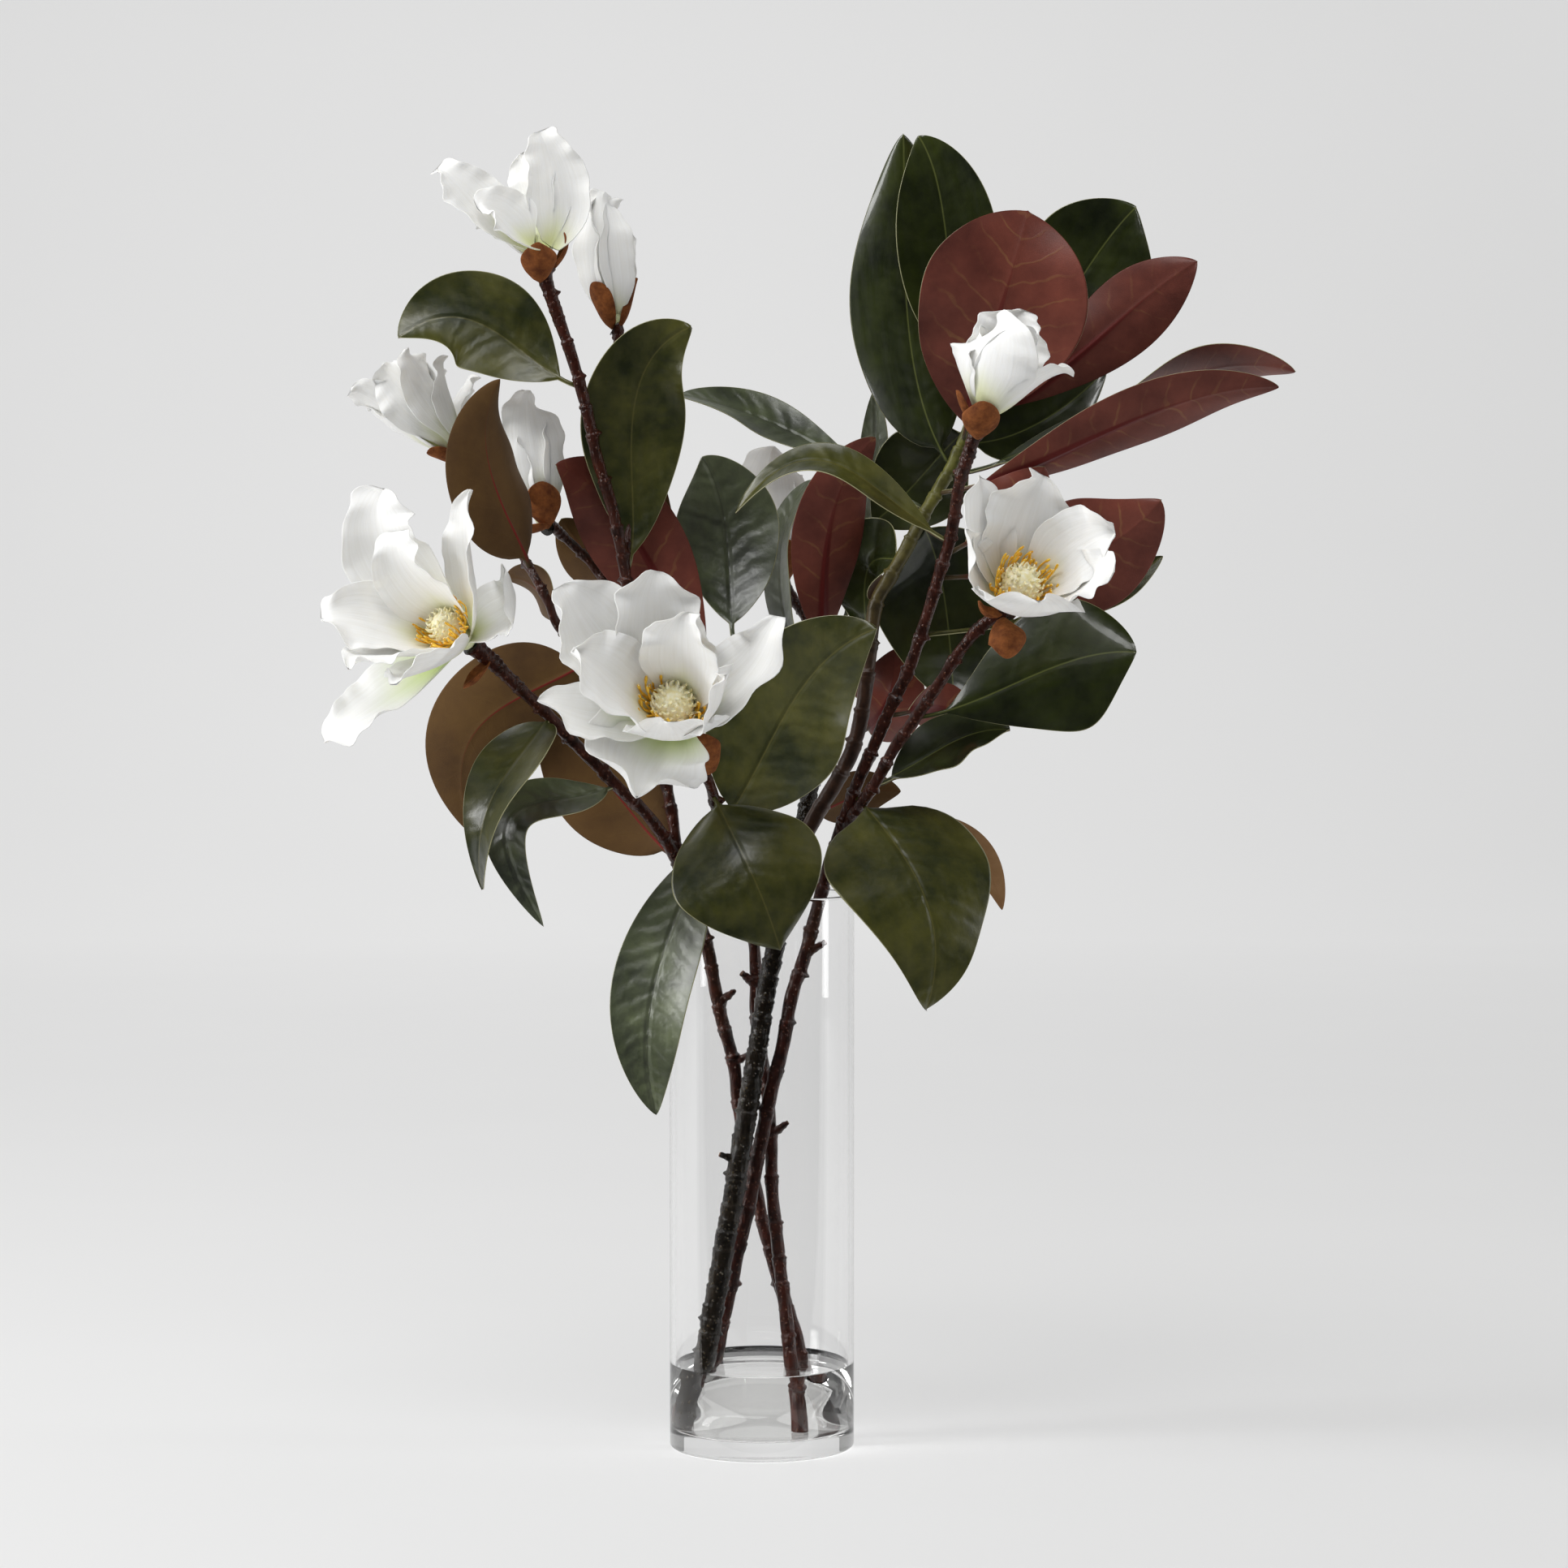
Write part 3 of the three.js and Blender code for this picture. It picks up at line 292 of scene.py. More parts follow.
class Shape:
    """Closed skins gathered into one mesh, with two maps: `span` in mm and `share` from 0 to 1."""

    def __init__(self):
        self.points, self.count, self.faces = [], 0, []

    def skin(self, rings, span, share, finish, ends=(0, 0)):
        """A closed skin through the rings. finish has a material for each step round a ring,
        ends one for each end, and the maps have one more point round than the rings."""
        n, m = rings.shape[:2]
        ids = self.count + np.arange(n * m).reshape(n, m)
        ids = np.concatenate([ids, ids[:, :1]], axis=1)
        self.points.append(rings.reshape(-1, 3))
        self.count += n * m
        corners = [(slice(0, -1), slice(0, -1)), (slice(0, -1), slice(1, None)),
                   (slice(1, None), slice(1, None)), (slice(1, None), slice(0, -1))]
        pick = lambda grid: np.stack([grid[c] for c in corners], axis=2).reshape(
            -1, 4, *grid.shape[2:])
        use = np.broadcast_to(np.asarray(finish), (n - 1, m)).reshape(-1)
        self.faces.append((pick(ids), pick(span), pick(share), use))
        for row, flip, used in ((0, True, ends[0]), (n - 1, False, ends[1])):
            self.points.append(rings[row].mean(axis=0)[None])
            hub = np.full(m, self.count)
            self.count += 1
            first, second = ids[row, :-1], ids[row, 1:]
            order = (hub, second, first) if flip else (hub, first, second)
            maps = []
            for grid in (span, share):
                middle = np.broadcast_to(grid[row].mean(axis=0), (m, 2))
                one, two = grid[row, :-1], grid[row, 1:]
                maps.append(np.stack((middle, two, one) if flip else (middle, one, two), axis=1))
            self.faces.append((np.stack(order, axis=1), *maps, np.full(m, used)))

    def build(self, name, finishes, slot, stands_for=()):
        mesh = bpy.data.meshes.new(name)
        points = np.concatenate(self.points) * MM
        mesh.vertices.add(len(points))
        mesh.vertices.foreach_set("co", points.astype(np.float32).ravel())
        loops = np.concatenate([f[0].ravel() for f in self.faces])
        sizes = np.concatenate([np.full(len(f[0]), f[0].shape[1]) for f in self.faces])
        mesh.loops.add(len(loops))
        mesh.loops.foreach_set("vertex_index", loops.astype(np.int32))
        mesh.polygons.add(len(sizes))
        starts = np.concatenate([[0], np.cumsum(sizes)[:-1]])
        mesh.polygons.foreach_set("loop_start", starts.astype(np.int32))
        used = np.concatenate([f[3] for f in self.faces])
        mesh.polygons.foreach_set("material_index", used.astype(np.int32))
        mesh.polygons.foreach_set("use_smooth", np.ones(len(sizes), bool))
        for which, title in ((1, "span"), (2, "share")):
            flat = np.concatenate([f[which].reshape(-1, 2) for f in self.faces])
            layer = mesh.uv_layers.new(name=title)
            layer.data.foreach_set("uv", flat.astype(np.float32).ravel())
        mesh.update(calc_edges=True)
        mesh.validate()
        for finish in finishes:
            mesh.materials.append(finish)
        piece = bpy.data.objects.new(name, mesh)
        bpy.context.scene.collection.objects.link(piece)
        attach(piece, "root")
        if stands_for:
            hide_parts(*stands_for)
        return piece


# ---- how the pieces are shaped ----
def rod(shape, line, radius, sides, finish=0, swell=None, ends=(0, 0)):
    """A round rod along the line; swell(run, angle) gives what is added to its radius, in mm."""
    step = min(ROD_STEP, 0.6 * float(np.mean(radius)) + 0.4)
    run, line, radius = even(np.asarray(line), radius, step)
    tangent = unit(np.gradient(line, axis=0))
    side = np.zeros_like(line)
    lean = np.array((1.0, 0.0, 0.0))
    for i, t in enumerate(tangent):
        lean = unit(lean - t * lean.dot(t))
        side[i] = lean
    up = np.cross(tangent, side)
    angle = np.linspace(0, 2 * math.pi, sides + 1)
    r = radius[:, None] + (swell(run[:, None], angle[None]) if swell else 0 * angle)
    rings = (line[:, None] + side[:, None] * (r * np.cos(angle))[..., None]
             + up[:, None] * (r * np.sin(angle))[..., None])
    rings[..., 2] = np.maximum(rings[..., 2], GLASS_FLOOR + 0.4)
    span = np.stack([radius[:, None] * angle, run[:, None] + 0 * angle], axis=2)
    share = np.stack([0 * run[:, None] + angle / (2 * math.pi),
                      run[:, None] / run[-1] + 0 * angle], axis=2)
    shape.skin(rings[:, :-1], span, share, finish, ends)


def blade(shape, a, m, p, lead, face, width, outline, half, cup, across, rows, warp,
          relief=(None, None), finish=(0, 1), twist=0.0):
    """A thin closed blade from a through m to p, cupped across; lead bends its start.
    outline(t), half(t, s), cup(t), warp(t, s, mm) and relief shape it."""
    first, last = np.linalg.norm(m - a), np.linalg.norm(p - m)
    k = float(np.clip(first / (first + last), 0.35, 0.75))
    b1 = a + lead * LEAD * (first + last)
    b2 = (m - (1 - k)**3 * a - 3 * (1 - k)**2 * k * b1 - k**3 * p) / (3 * (1 - k) * k**2)
    t = 1 - (1 - np.linspace(0, 1, rows)) ** 1.25
    v = t[:, None] ** (math.log(k) / math.log(0.5))
    mid = (1 - v)**3 * a + 3 * (1 - v)**2 * v * b1 + 3 * (1 - v) * v**2 * b2 + v**3 * p
    along = unit(3 * (1 - v)**2 * (b1 - a) + 6 * (1 - v) * v * (b2 - b1) + 3 * v**2 * (p - b2))
    u = t[:, None]
    up = face - along * (along @ face)[:, None]
    turn = (twist * (t - 0.5))[:, None]
    up = up * np.cos(turn) + np.cross(along, up) * np.sin(turn)
    side = unit(np.cross(along, up))
    n = np.cross(side, along)
    s = across[None]
    r = np.maximum(0.12, width / 2 * outline(t))[:, None]
    fold = np.broadcast_to(np.asarray(cup(u)), u.shape)
    angle = fold * s
    lift = r * (1 - np.cos(angle)) / fold
    mm = s * r
    base = (mid[:, None] + side[:, None] * (r * np.sin(angle) / fold)[..., None]
            + n[:, None] * lift[..., None])
    normal = n[:, None] * np.cos(angle)[..., None] - side[:, None] * np.sin(angle)[..., None]
    move = warp(u, s, mm)
    thick = half(u, s)
    top = move + thick + (relief[0](u, s, mm) if relief[0] else 0)
    bottom = move - thick - (relief[1](u, s, mm) if relief[1] else 0)
    upper = base + normal * top[..., None]
    lower = base + normal * bottom[..., None]
    rings = np.concatenate([upper, lower[:, ::-1]], axis=1)
    legs = np.linalg.norm(np.diff(mid, axis=0), axis=1)
    run = np.concatenate([[0], np.cumsum(legs)])[:, None] + 0 * mm
    span = np.stack([mm, run], axis=2)
    share = np.stack([0 * u + s, u + 0 * s], axis=2)
    wrap = lambda g: np.concatenate([g, g[:, ::-1], g[:, :1]], axis=1)
    wide = len(across)
    use = np.array([finish[0]] * wide + [finish[1]] * (wide - 1) + [finish[0]])
    shape.skin(rings, wrap(span), wrap(share), use, (finish[0], finish[0]))


def both_sides(*shares):
    """Places across a blade, mirrored about its midrib."""
    return np.array([-x for x in reversed(shares)] + [0.0] + list(shares))


LEAF_ACROSS = both_sides(0.03, 0.07, 0.14, 0.24, 0.36, 0.5, 0.65, 0.8, 0.91, 0.975, 1.0)
PETAL_ACROSS = both_sides(0.06, 0.16, 0.3, 0.44, 0.58, 0.72, 0.84, 0.93, 0.98, 1.0)
SCALE_ACROSS = both_sides(0.2, 0.45, 0.7, 0.88, 1.0)

# ---- stems ----
LINES = {key: np.array([at(p) for p in points]) for key, (_, points) in STEMS.items()}


def passing(key, height):
    """Centre, direction and radius of a stem where it passes a height."""
    line = LINES[key]
    i = 0
    while i < len(line) - 2 and line[i + 1][2] < height:
        i += 1
    k = np.clip((height - line[i][2]) / (line[i + 1][2] - line[i][2]), 0, 1)
    r0, r1 = STEMS[key][0]
    centre = line[i] * (1 - k) + line[i + 1] * k
    return centre, unit(line[i + 1] - line[i]), r0 + (r1 - r0) * (i + k) / (len(line) - 1)


def knots(length, every, height, spur, draw):
    """Ring scars every so many mm, each with a bud spur on alternate sides."""
    places = []
    d = every * draw.uniform(0.3, 0.8)
    while d < length:
        places.append((d, draw.uniform(0.6, 1.2), draw.uniform(0, 2 * math.pi)))
        d += every * draw.uniform(0.6, 1.35)
    wobble = draw.uniform(0, 2 * math.pi, 4)

    def swell(run, angle):
        out = 0.16 * np.sin(run / 7 + wobble[0] + angle)
        out = out + 0.12 * np.sin(run / 3.1 + wobble[1] - 2 * angle)
        out = out + 0.08 * np.sin(5 * angle + wobble[2] + run / 11)
        for place, strength, turn in places:
            near = (run - place) / 0.8
            out = out + height * strength * np.exp(-near**2) * (1 + 0.35 * np.cos(angle - turn))
            out = out + 0.5 * height * strength * np.exp(-((run - place + 2.6) / 1.6)**2)
            out = out - 0.4 * height * strength * np.exp(-((run - place - 1.7) / 0.7)**2)
            lump = np.exp(-((run - place - 0.8) / 1.5)**2)
            out = out + spur * strength * lump * np.clip(np.cos(angle - turn), 0, 1)**9
        return out

    return swell


def bloom_frame(bloom):
    return at(bloom["heart"]), unit(np.array(bloom["axis"], float))


def scale_outline(t):
    return np.minimum(0.35 + 2.4 * t, np.sqrt(np.clip(1 - ((t - 0.5) / 0.505)**2, 0, 1)))


def bloom_blade(shape, bloom, spec, outline, **ways):
    """A petal or bud scale, set round the heart; its upper side faces the bloom's axis."""
    mid, tip, width, *more = spec
    heart, axis = bloom_frame(bloom)
    m, p = at(mid), at(tip)
    out = m - heart
    out = out - axis * out.dot(axis)
    out = unit(out) if np.linalg.norm(out) >= 1 else np.array((0.0, -1.0, 0.0))
    a = at(more[0]) if more else heart + out * 0.6 * CORE_R
    face = np.array(more[1], float) if len(more) > 1 else axis - out
    lead = unit(m - a) * 0.7 + out * 0.5
    blade(shape, a, m, p, lead, unit(face), width, outline, **ways)


def bud_scale(shape, bloom, spec, draw):
    """A thick cupped scale in brown fur."""
    turn = draw.uniform(0, 6.28)
    bloom_blade(
        shape, bloom, spec, scale_outline, across=SCALE_ACROSS, rows=SCALE_ROWS,
        half=lambda t, s: SCALE_HALF - 0.3 * s**2 + 0 * t, cup=lambda t: 0.95 + 0 * t,
        warp=lambda t, s, mm: 0.35 * np.sin(7 * t + 3 * s + turn) * np.abs(s),
        finish=(0, 0))


BRANCHES = {
    "branch_leafy": ("T", "OL", "P7"),
    "branch_left": ("S1", "S1b", "P2", "P4", "P3"),
    "branch_middle": ("S2", "S2b"),
    "branch_right": ("S3", "B"),
}
WOOD = {"T": 0, "OL": 1}  # places of the trunk's and the shoot's bark among the finishes
TWIG, CUT = 2, 3
RING_EVERY = {"T": 9.0, "OL": 17.0}
TWIG_RINGS = 21.0  # mm between the ring scars of a twig


def branch(name, keys, finishes, velvet):
    """One branch: its stems, cut stubs and bloom stalks as one piece, its bud scales as another."""
    draw = np.random.default_rng(list(BRANCHES).index(name) + 11)
    wood, scales = Shape(), Shape()
    for key in keys:
        (r0, r1), _ = STEMS[key]
        line = smooth(list(LINES[key]))
        radius = np.linspace(r0, r1, len(line)) * 0.97
        length = np.linalg.norm(np.diff(line, axis=0), axis=1).sum()
        big = key in RING_EVERY
        swell = knots(length, RING_EVERY.get(key, TWIG_RINGS), 0.85, 1.3 if big else 2.0, draw)
        use = WOOD.get(key, TWIG)
        rod(wood, line, radius, 22 if big else 18, use, swell, (CUT, use))
        for stem, height, direction, reach in STUBS:
            if stem != key:
                continue
            centre, _, thick = passing(key, height)
            end = centre + unit(np.array(direction)) * (thick + reach)
            bits = knots(reach + thick, 3.4, 0.4, 0.6, draw)
            rod(wood, np.linspace(centre, end, 6), np.linspace(*STUB_R, 6), 12, use, bits,
                (use, CUT))
        for bloom in BLOOMS.values():
            if bloom["stem"] != key:
                continue
            heart, axis = bloom_frame(bloom)
            top = LINES[key]
            stalk = smooth([top[-2], top[-1], heart - axis * CORE_R])
            bits = knots(60, 4.5, 0.4, 0.4, draw)
            rod(wood, stalk, r1 + 2.4 * np.linspace(0, 1, len(stalk))**2, 18, TWIG, bits)
            for spec in bloom["scales"]:
                bud_scale(scales, bloom, spec, draw)
    wood.build(f"{name}_wood", finishes, "stem", [name])
    if scales.points:
        scales.build(f"{name}_bud_scales", [velvet], "stem")


# ---- blooms ----
def petal_outline(t):
    tip = np.clip((t - 0.42) / 0.58, 0, 1)
    return (0.3 + 0.7 * ease(t, -0.08, 0.42)) * (1 - tip**2.3)**0.75


def petal(shape, bloom, spec, draw, finish):
    """A broad thin petal, spoon-shaped, with a ruffled and slightly rolled margin."""
    waves = draw.uniform(1.6, 2.7, 2)
    shift = draw.uniform(0, 2 * math.pi, 3)
    ruffle = spec[2] * draw.uniform(0.06, 0.1)
    roll = draw.uniform(0.8, 2.8)

    def warp(t, s, mm):
        free = ease(t, 0.25, 0.8)
        f = np.where(s < 0, waves[0], waves[1])
        turn = 2 * math.pi * f * t + shift[0] + np.sign(s)
        out = ruffle * np.abs(s)**2.4 * (np.sin(turn) + 0.35 * np.sin(2.7 * turn + shift[2])) * free
        out = out - roll * np.abs(s)**6 * free - 2.2 * ease(t, 0.84, 1.0)**2
        out = out + 0.35 * np.sin(9 * s + shift[1]) * t * (1 - t)
        return out - 0.25 * np.exp(-(s / 0.07)**2) * t

    bloom_blade(
        shape, bloom, spec, petal_outline, across=PETAL_ACROSS, rows=PETAL_ROWS,
        half=lambda t, s: PETAL_HALF + 0.35 * np.clip(0.3 - t, 0, 1) - 0.12 * s**4,
        cup=lambda t: 0.9 - 0.3 * t + 0.8 * ease(t, 0.8, 1.0), warp=warp, finish=(finish, finish))


def heart(shape, bloom):
    """The small green-white knob that the petals grow from."""
    centre, axis = bloom_frame(bloom)
    line = np.linspace(centre - axis * CORE_R * 0.98, centre + axis * CORE_R * 0.98, 15)
    z = np.linspace(-0.98, 0.98, 15)
    rod(shape, line, CORE_R * np.sqrt(1 - z**2), 20, 2)


def cone(key, bloom, ivory, yellow):
    """The seed cone of an open bloom: an egg of small hooked carpels in a ring of stamens."""
    draw = np.random.default_rng(int(key) + 70)
    shape = Shape()
    centre, axis = bloom_frame(bloom)
    size = float(bloom["cone"])
    one = unit(np.cross(axis, (0.3, 0.2, 1.0)))
    two = np.cross(axis, one)
    base = centre + axis * (CORE_R + 0.3)
    ups = np.array((0, 0.3, 0.6, 1.0, 1.3, 1.55, 1.72, 1.8))
    outs = np.array((0.6, 0.86, 0.9, 0.88, 0.76, 0.56, 0.34, 0.08))
    spot = lambda r, turn, up: base + size * (
        one * r * math.cos(turn) + two * r * math.sin(turn) + axis * up)
    rod(shape, base + axis * size * smooth(list(ups[:, None]))[:, :1],
        size * smooth(list(outs[:, None]))[:, 0], 24, 0)
    golden = math.pi * (3 - math.sqrt(5))
    for i in range(CARPELS):
        up = 0.18 + 1.55 * (i / CARPELS)**0.9
        r = float(np.interp(up, ups, outs))
        turn = i * golden
        reach = draw.uniform(0.2, 0.3)
        foot, knee = spot(r * 0.88, turn, up), spot(r + 0.1, turn, up + 0.08)
        tip = spot(r + reach * 0.6, turn + draw.uniform(-0.25, 0.25), up + reach)
        line = smooth([foot, knee, tip], 4)
        rod(shape, line, np.linspace(0.11, 0.03, len(line)) * size, 6, 0)
    for i in range(STAMENS):
        turn = 2 * math.pi * (i + draw.uniform(-0.4, 0.4)) / STAMENS
        low, high = draw.uniform(0.15, 0.5), draw.uniform(0.95, 2.0)
        out = draw.uniform(1.08, 1.7)
        line = smooth([spot(0.8, turn, low), spot(out * 0.93, turn + 0.05, (low + high) / 2),
                       spot(out, turn + draw.uniform(-0.15, 0.15), high)], 5)
        thick = np.concatenate([np.linspace(0.6, 0.5, len(line) - 3), (0.8, 0.75, 0.3)])
        rod(shape, line, thick * size / 11, 6, 1)
    shape.build(f"stamens_{key}_cone", [ivory, yellow], "stamen", [f"stamens_{key}"])


def flower(key, bloom, finishes):
    draw = np.random.default_rng(int(key) + 40)
    shape = Shape()
    heart(shape, bloom)
    for i, spec in enumerate(bloom["petals"]):
        petal(shape, bloom, spec, draw, 1 if (key, i) in LIME else 0)
    shape.build(f"bloom_{key}_petals", finishes, "petal", [f"bloom_{key}"])


# ---- leaves ----
def leaf(name, values, finishes):
    """A leathery leaf on its stalk: midrib sunk above and raised below, edges gently waved."""
    stem, height, mid, tip, width, face, cup, *more = values
    belly, twist = (*more, *(0.95, 0.0)[len(more):])
    draw = np.random.default_rng(int(name[-2:]) + 100)
    centre, t, r = passing(stem, height)
    m = at(mid)
    d = m - centre
    d = unit(d - t * d.dot(t))
    a = centre + d * 0.5 * r
    lead = unit(m - a) * 0.75 + d * 0.45
    stalk = 2 * PETIOLE_HALF / width
    shift = draw.uniform(0, 2 * math.pi, 4)
    waves = draw.uniform(1.5, 2.6, 2)
    wave = width * draw.uniform(0.012, 0.026)

    def outline(t):
        u = np.clip((t - STALK) / (1 - STALK), 0, 1)
        body = np.sin(math.pi * u**belly)**0.74
        body = np.clip(body, 0, 1) * (1 + 0.018 * np.sin(9 * t + shift[2]))
        return (body**4 + (stalk * (1 - 0.9 * t))**4)**0.25

    def warp(t, s, mm):
        f = np.where(s < 0, waves[0], waves[1])
        out = wave * s**2 * np.sin(2 * math.pi * f * t + shift[0] + shift[1] * np.sign(s))
        out = out * ease(t, 0.15, 0.4)
        return out + 0.3 * np.sin(13 * t + 5 * s + shift[3]) * np.abs(s) * (1 - np.abs(s))

    shape = Shape()
    round_stalk = lambda t, s: np.clip(1 - 3 * t, 0, 1) * (1 - s**2)
    blade(
        shape, a, m, at(tip), lead, np.array(face, float), width, outline,
        half=lambda t, s: LEAF_HALF + 0.9 * round_stalk(t, s) - 0.08 * s**4,
        cup=lambda t: cup + 0 * t, across=LEAF_ACROSS, rows=LEAF_ROWS, warp=warp, twist=twist,
        relief=(lambda t, s, mm: -0.4 * np.exp(-(mm / 1.1)**2) * ease(t, 0.1, 0.25) * (1 - t),
                lambda t, s, mm: 0.8 * np.exp(-(mm / 1.1)**2) * (1 - 0.85 * t)))
    shape.build(f"{name}_blade", finishes, "leaf", [name])


# ---- finishes ----
def colour(code):
    """An sRGB hex value as a linear colour."""
    parts = [int(code[i:i + 2], 16) / 255 for i in (1, 3, 5)]
    return (*[p / 12.92 if p <= 0.04045 else ((p + 0.055) / 1.055)**2.4 for p in parts], 1.0)


def put(mat, kind, settings=(), links=()):
    """Adds a shader node: settings are its properties and socket values, links its wires."""
    node = mat.node_tree.nodes.new("ShaderNode" + kind)
    for key, value in dict(settings).items():
        if key == "stops":
            ends = node.color_ramp.elements
            while len(ends) < len(value):
                ends.new(1.0)
            for end, (place, code) in zip(ends, value):
                end.position, end.color = place, colour(code)
        elif isinstance(key, int) or key in node.inputs:
            node.inputs[key].default_value = value
        else:
            setattr(node, key, value)
    for key, source in dict(links).items():
        out = source if isinstance(source, bpy.types.NodeSocket) else source.outputs[0]
        mat.node_tree.links.new(out, node.inputs[key])
    return node


def material(name):
    mat = bpy.data.materials.new(name)
    mat.use_nodes = True
    mat.node_tree.nodes.clear()
    return mat


def surface(mat, settings, links):
    shader = put(mat, "BsdfPrincipled", settings, links)
    put(mat, "OutputMaterial", links={"Surface": shader})
    return mat


def clouding(mat, place, noise, low, high):
    """A noise and the two tones that it clouds; low and high are a level and its colour."""
    cloud = put(mat, "TexNoise", noise, {"Vector": place})
    return cloud, put(mat, "ValToRGB", {"stops": [low, high]}, {0: cloud})


def side_veins(mat, spacing, wander):
    """Maps of a leaf: its span, how far a place is from the midrib in mm and as a share, the
    place along it, and the wave of side veins so many mm apart, swept forward."""
    span = put(mat, "UVMap", {"uv_map": "span"})
    share = put(mat, "UVMap", {"uv_map": "share"})
    mm = put(mat, "SeparateXYZ", links={0: span})
    part = put(mat, "SeparateXYZ", links={0: share})
    away = put(mat, "Math", {"operation": "ABSOLUTE"}, {0: mm.outputs[0]})
    edge = put(mat, "Math", {"operation": "ABSOLUTE"}, {0: part.outputs[0]})
    drift = put(mat, "TexNoise", {"Scale": 0.06, "Detail": 2.0}, {"Vector": span})
    sweep = put(mat, "Math", {"operation": "POWER", 1: 0.88}, {0: away})
    forward = put(mat, "Math", {"operation": "MULTIPLY_ADD", 1: -0.85}, {
        0: sweep, 2: mm.outputs[1]})
    bent = put(mat, "Math", {"operation": "MULTIPLY_ADD", 1: wander}, {
        0: drift, 2: forward})
    turn = put(mat, "Math", {"operation": "MULTIPLY", 1: 2 * math.pi / spacing}, {0: bent})
    wave = put(mat, "Math", {"operation": "COSINE"}, {0: turn})
    return span, away, edge, part.outputs[1], wave


def leaf_upper(name, deep, light, rib, rough, coat, coat_rough, quilt, shine=0.5):
    """Upper side of an evergreen leaf: a waxed skin, so a satin to hard gloss in long soft
    streaks, dark green with browner clouding, a hair-fine midrib, a pale margin painted on as a
    rim highlight, and side veins that only show as a quilting in the gloss."""
    mat = material(name)
    span, away, edge, _, wave = side_veins(mat, 10.0, 14.0)
    place = put(mat, "TexCoord").outputs["Object"]
    _, green = clouding(mat, place, {"Scale": 30.0, "Detail": 5.0, "Roughness": 0.62},
                        (0.36, deep), (0.68, light))
    rib_line = put(mat, "MapRange", {1: 0.15, 2: 0.6, 3: 0.45, 4: 0.0}, {0: away})
    ribbed = put(mat, "Mix", {"data_type": "RGBA", 7: colour(rib)}, {
        0: rib_line, 6: green})
    # Painted highlight: a pale line along the margin stands in for light grazing the leaf's edge.
    rim = put(mat, "MapRange", {1: 0.984, 2: 0.998, 3: 0.0, 4: 0.75}, {0: edge})
    painted_rim_highlight = put(mat, "Mix", {"data_type": "RGBA", 7: colour("#b5b287")}, {
        0: rim, 6: ribbed.outputs[2]})
    stretch = put(mat, "Mapping", {"Scale": (0.3, 0.05, 1.0)}, {"Vector": span})
    streak = put(mat, "TexNoise", {"Scale": 1.0, "Detail": 3.0}, {"Vector": stretch})
    dull = put(mat, "MapRange", {1: 0.3, 2: 0.7, 3: rough - 0.06, 4: rough + 0.08}, {
        0: streak})
    fade = put(mat, "MapRange", {1: 0.6, 2: 0.98, 3: 1.0, 4: 0.2}, {0: edge})
    quilted = put(mat, "Math", {"operation": "MULTIPLY"}, {0: wave, 1: fade})
    groove = put(mat, "MapRange", {"interpolation_type": "SMOOTHSTEP",
                                             1: 0.3, 2: 2.6, 3: -2.2, 4: 0.0}, {0: away})
    sunk = put(mat, "Math", {"operation": "ADD"}, {0: groove, 1: quilted})
    grain = put(mat, "TexNoise", {"Scale": 0.35, "Detail": 4.0}, {"Vector": span})
    height = put(mat, "Math", {"operation": "MULTIPLY_ADD", 1: 0.9}, {0: grain, 2: sunk})
    bump = put(mat, "Bump", {"Strength": quilt, "Distance": 0.0006}, {"Height": height})
    return surface(mat, {"IOR": 1.45, "Specular IOR Level": shine, "Coat Weight": coat,
                         "Coat Roughness": coat_rough}, {
        "Base Color": painted_rim_highlight.outputs[2], "Roughness": dull, "Normal": bump})


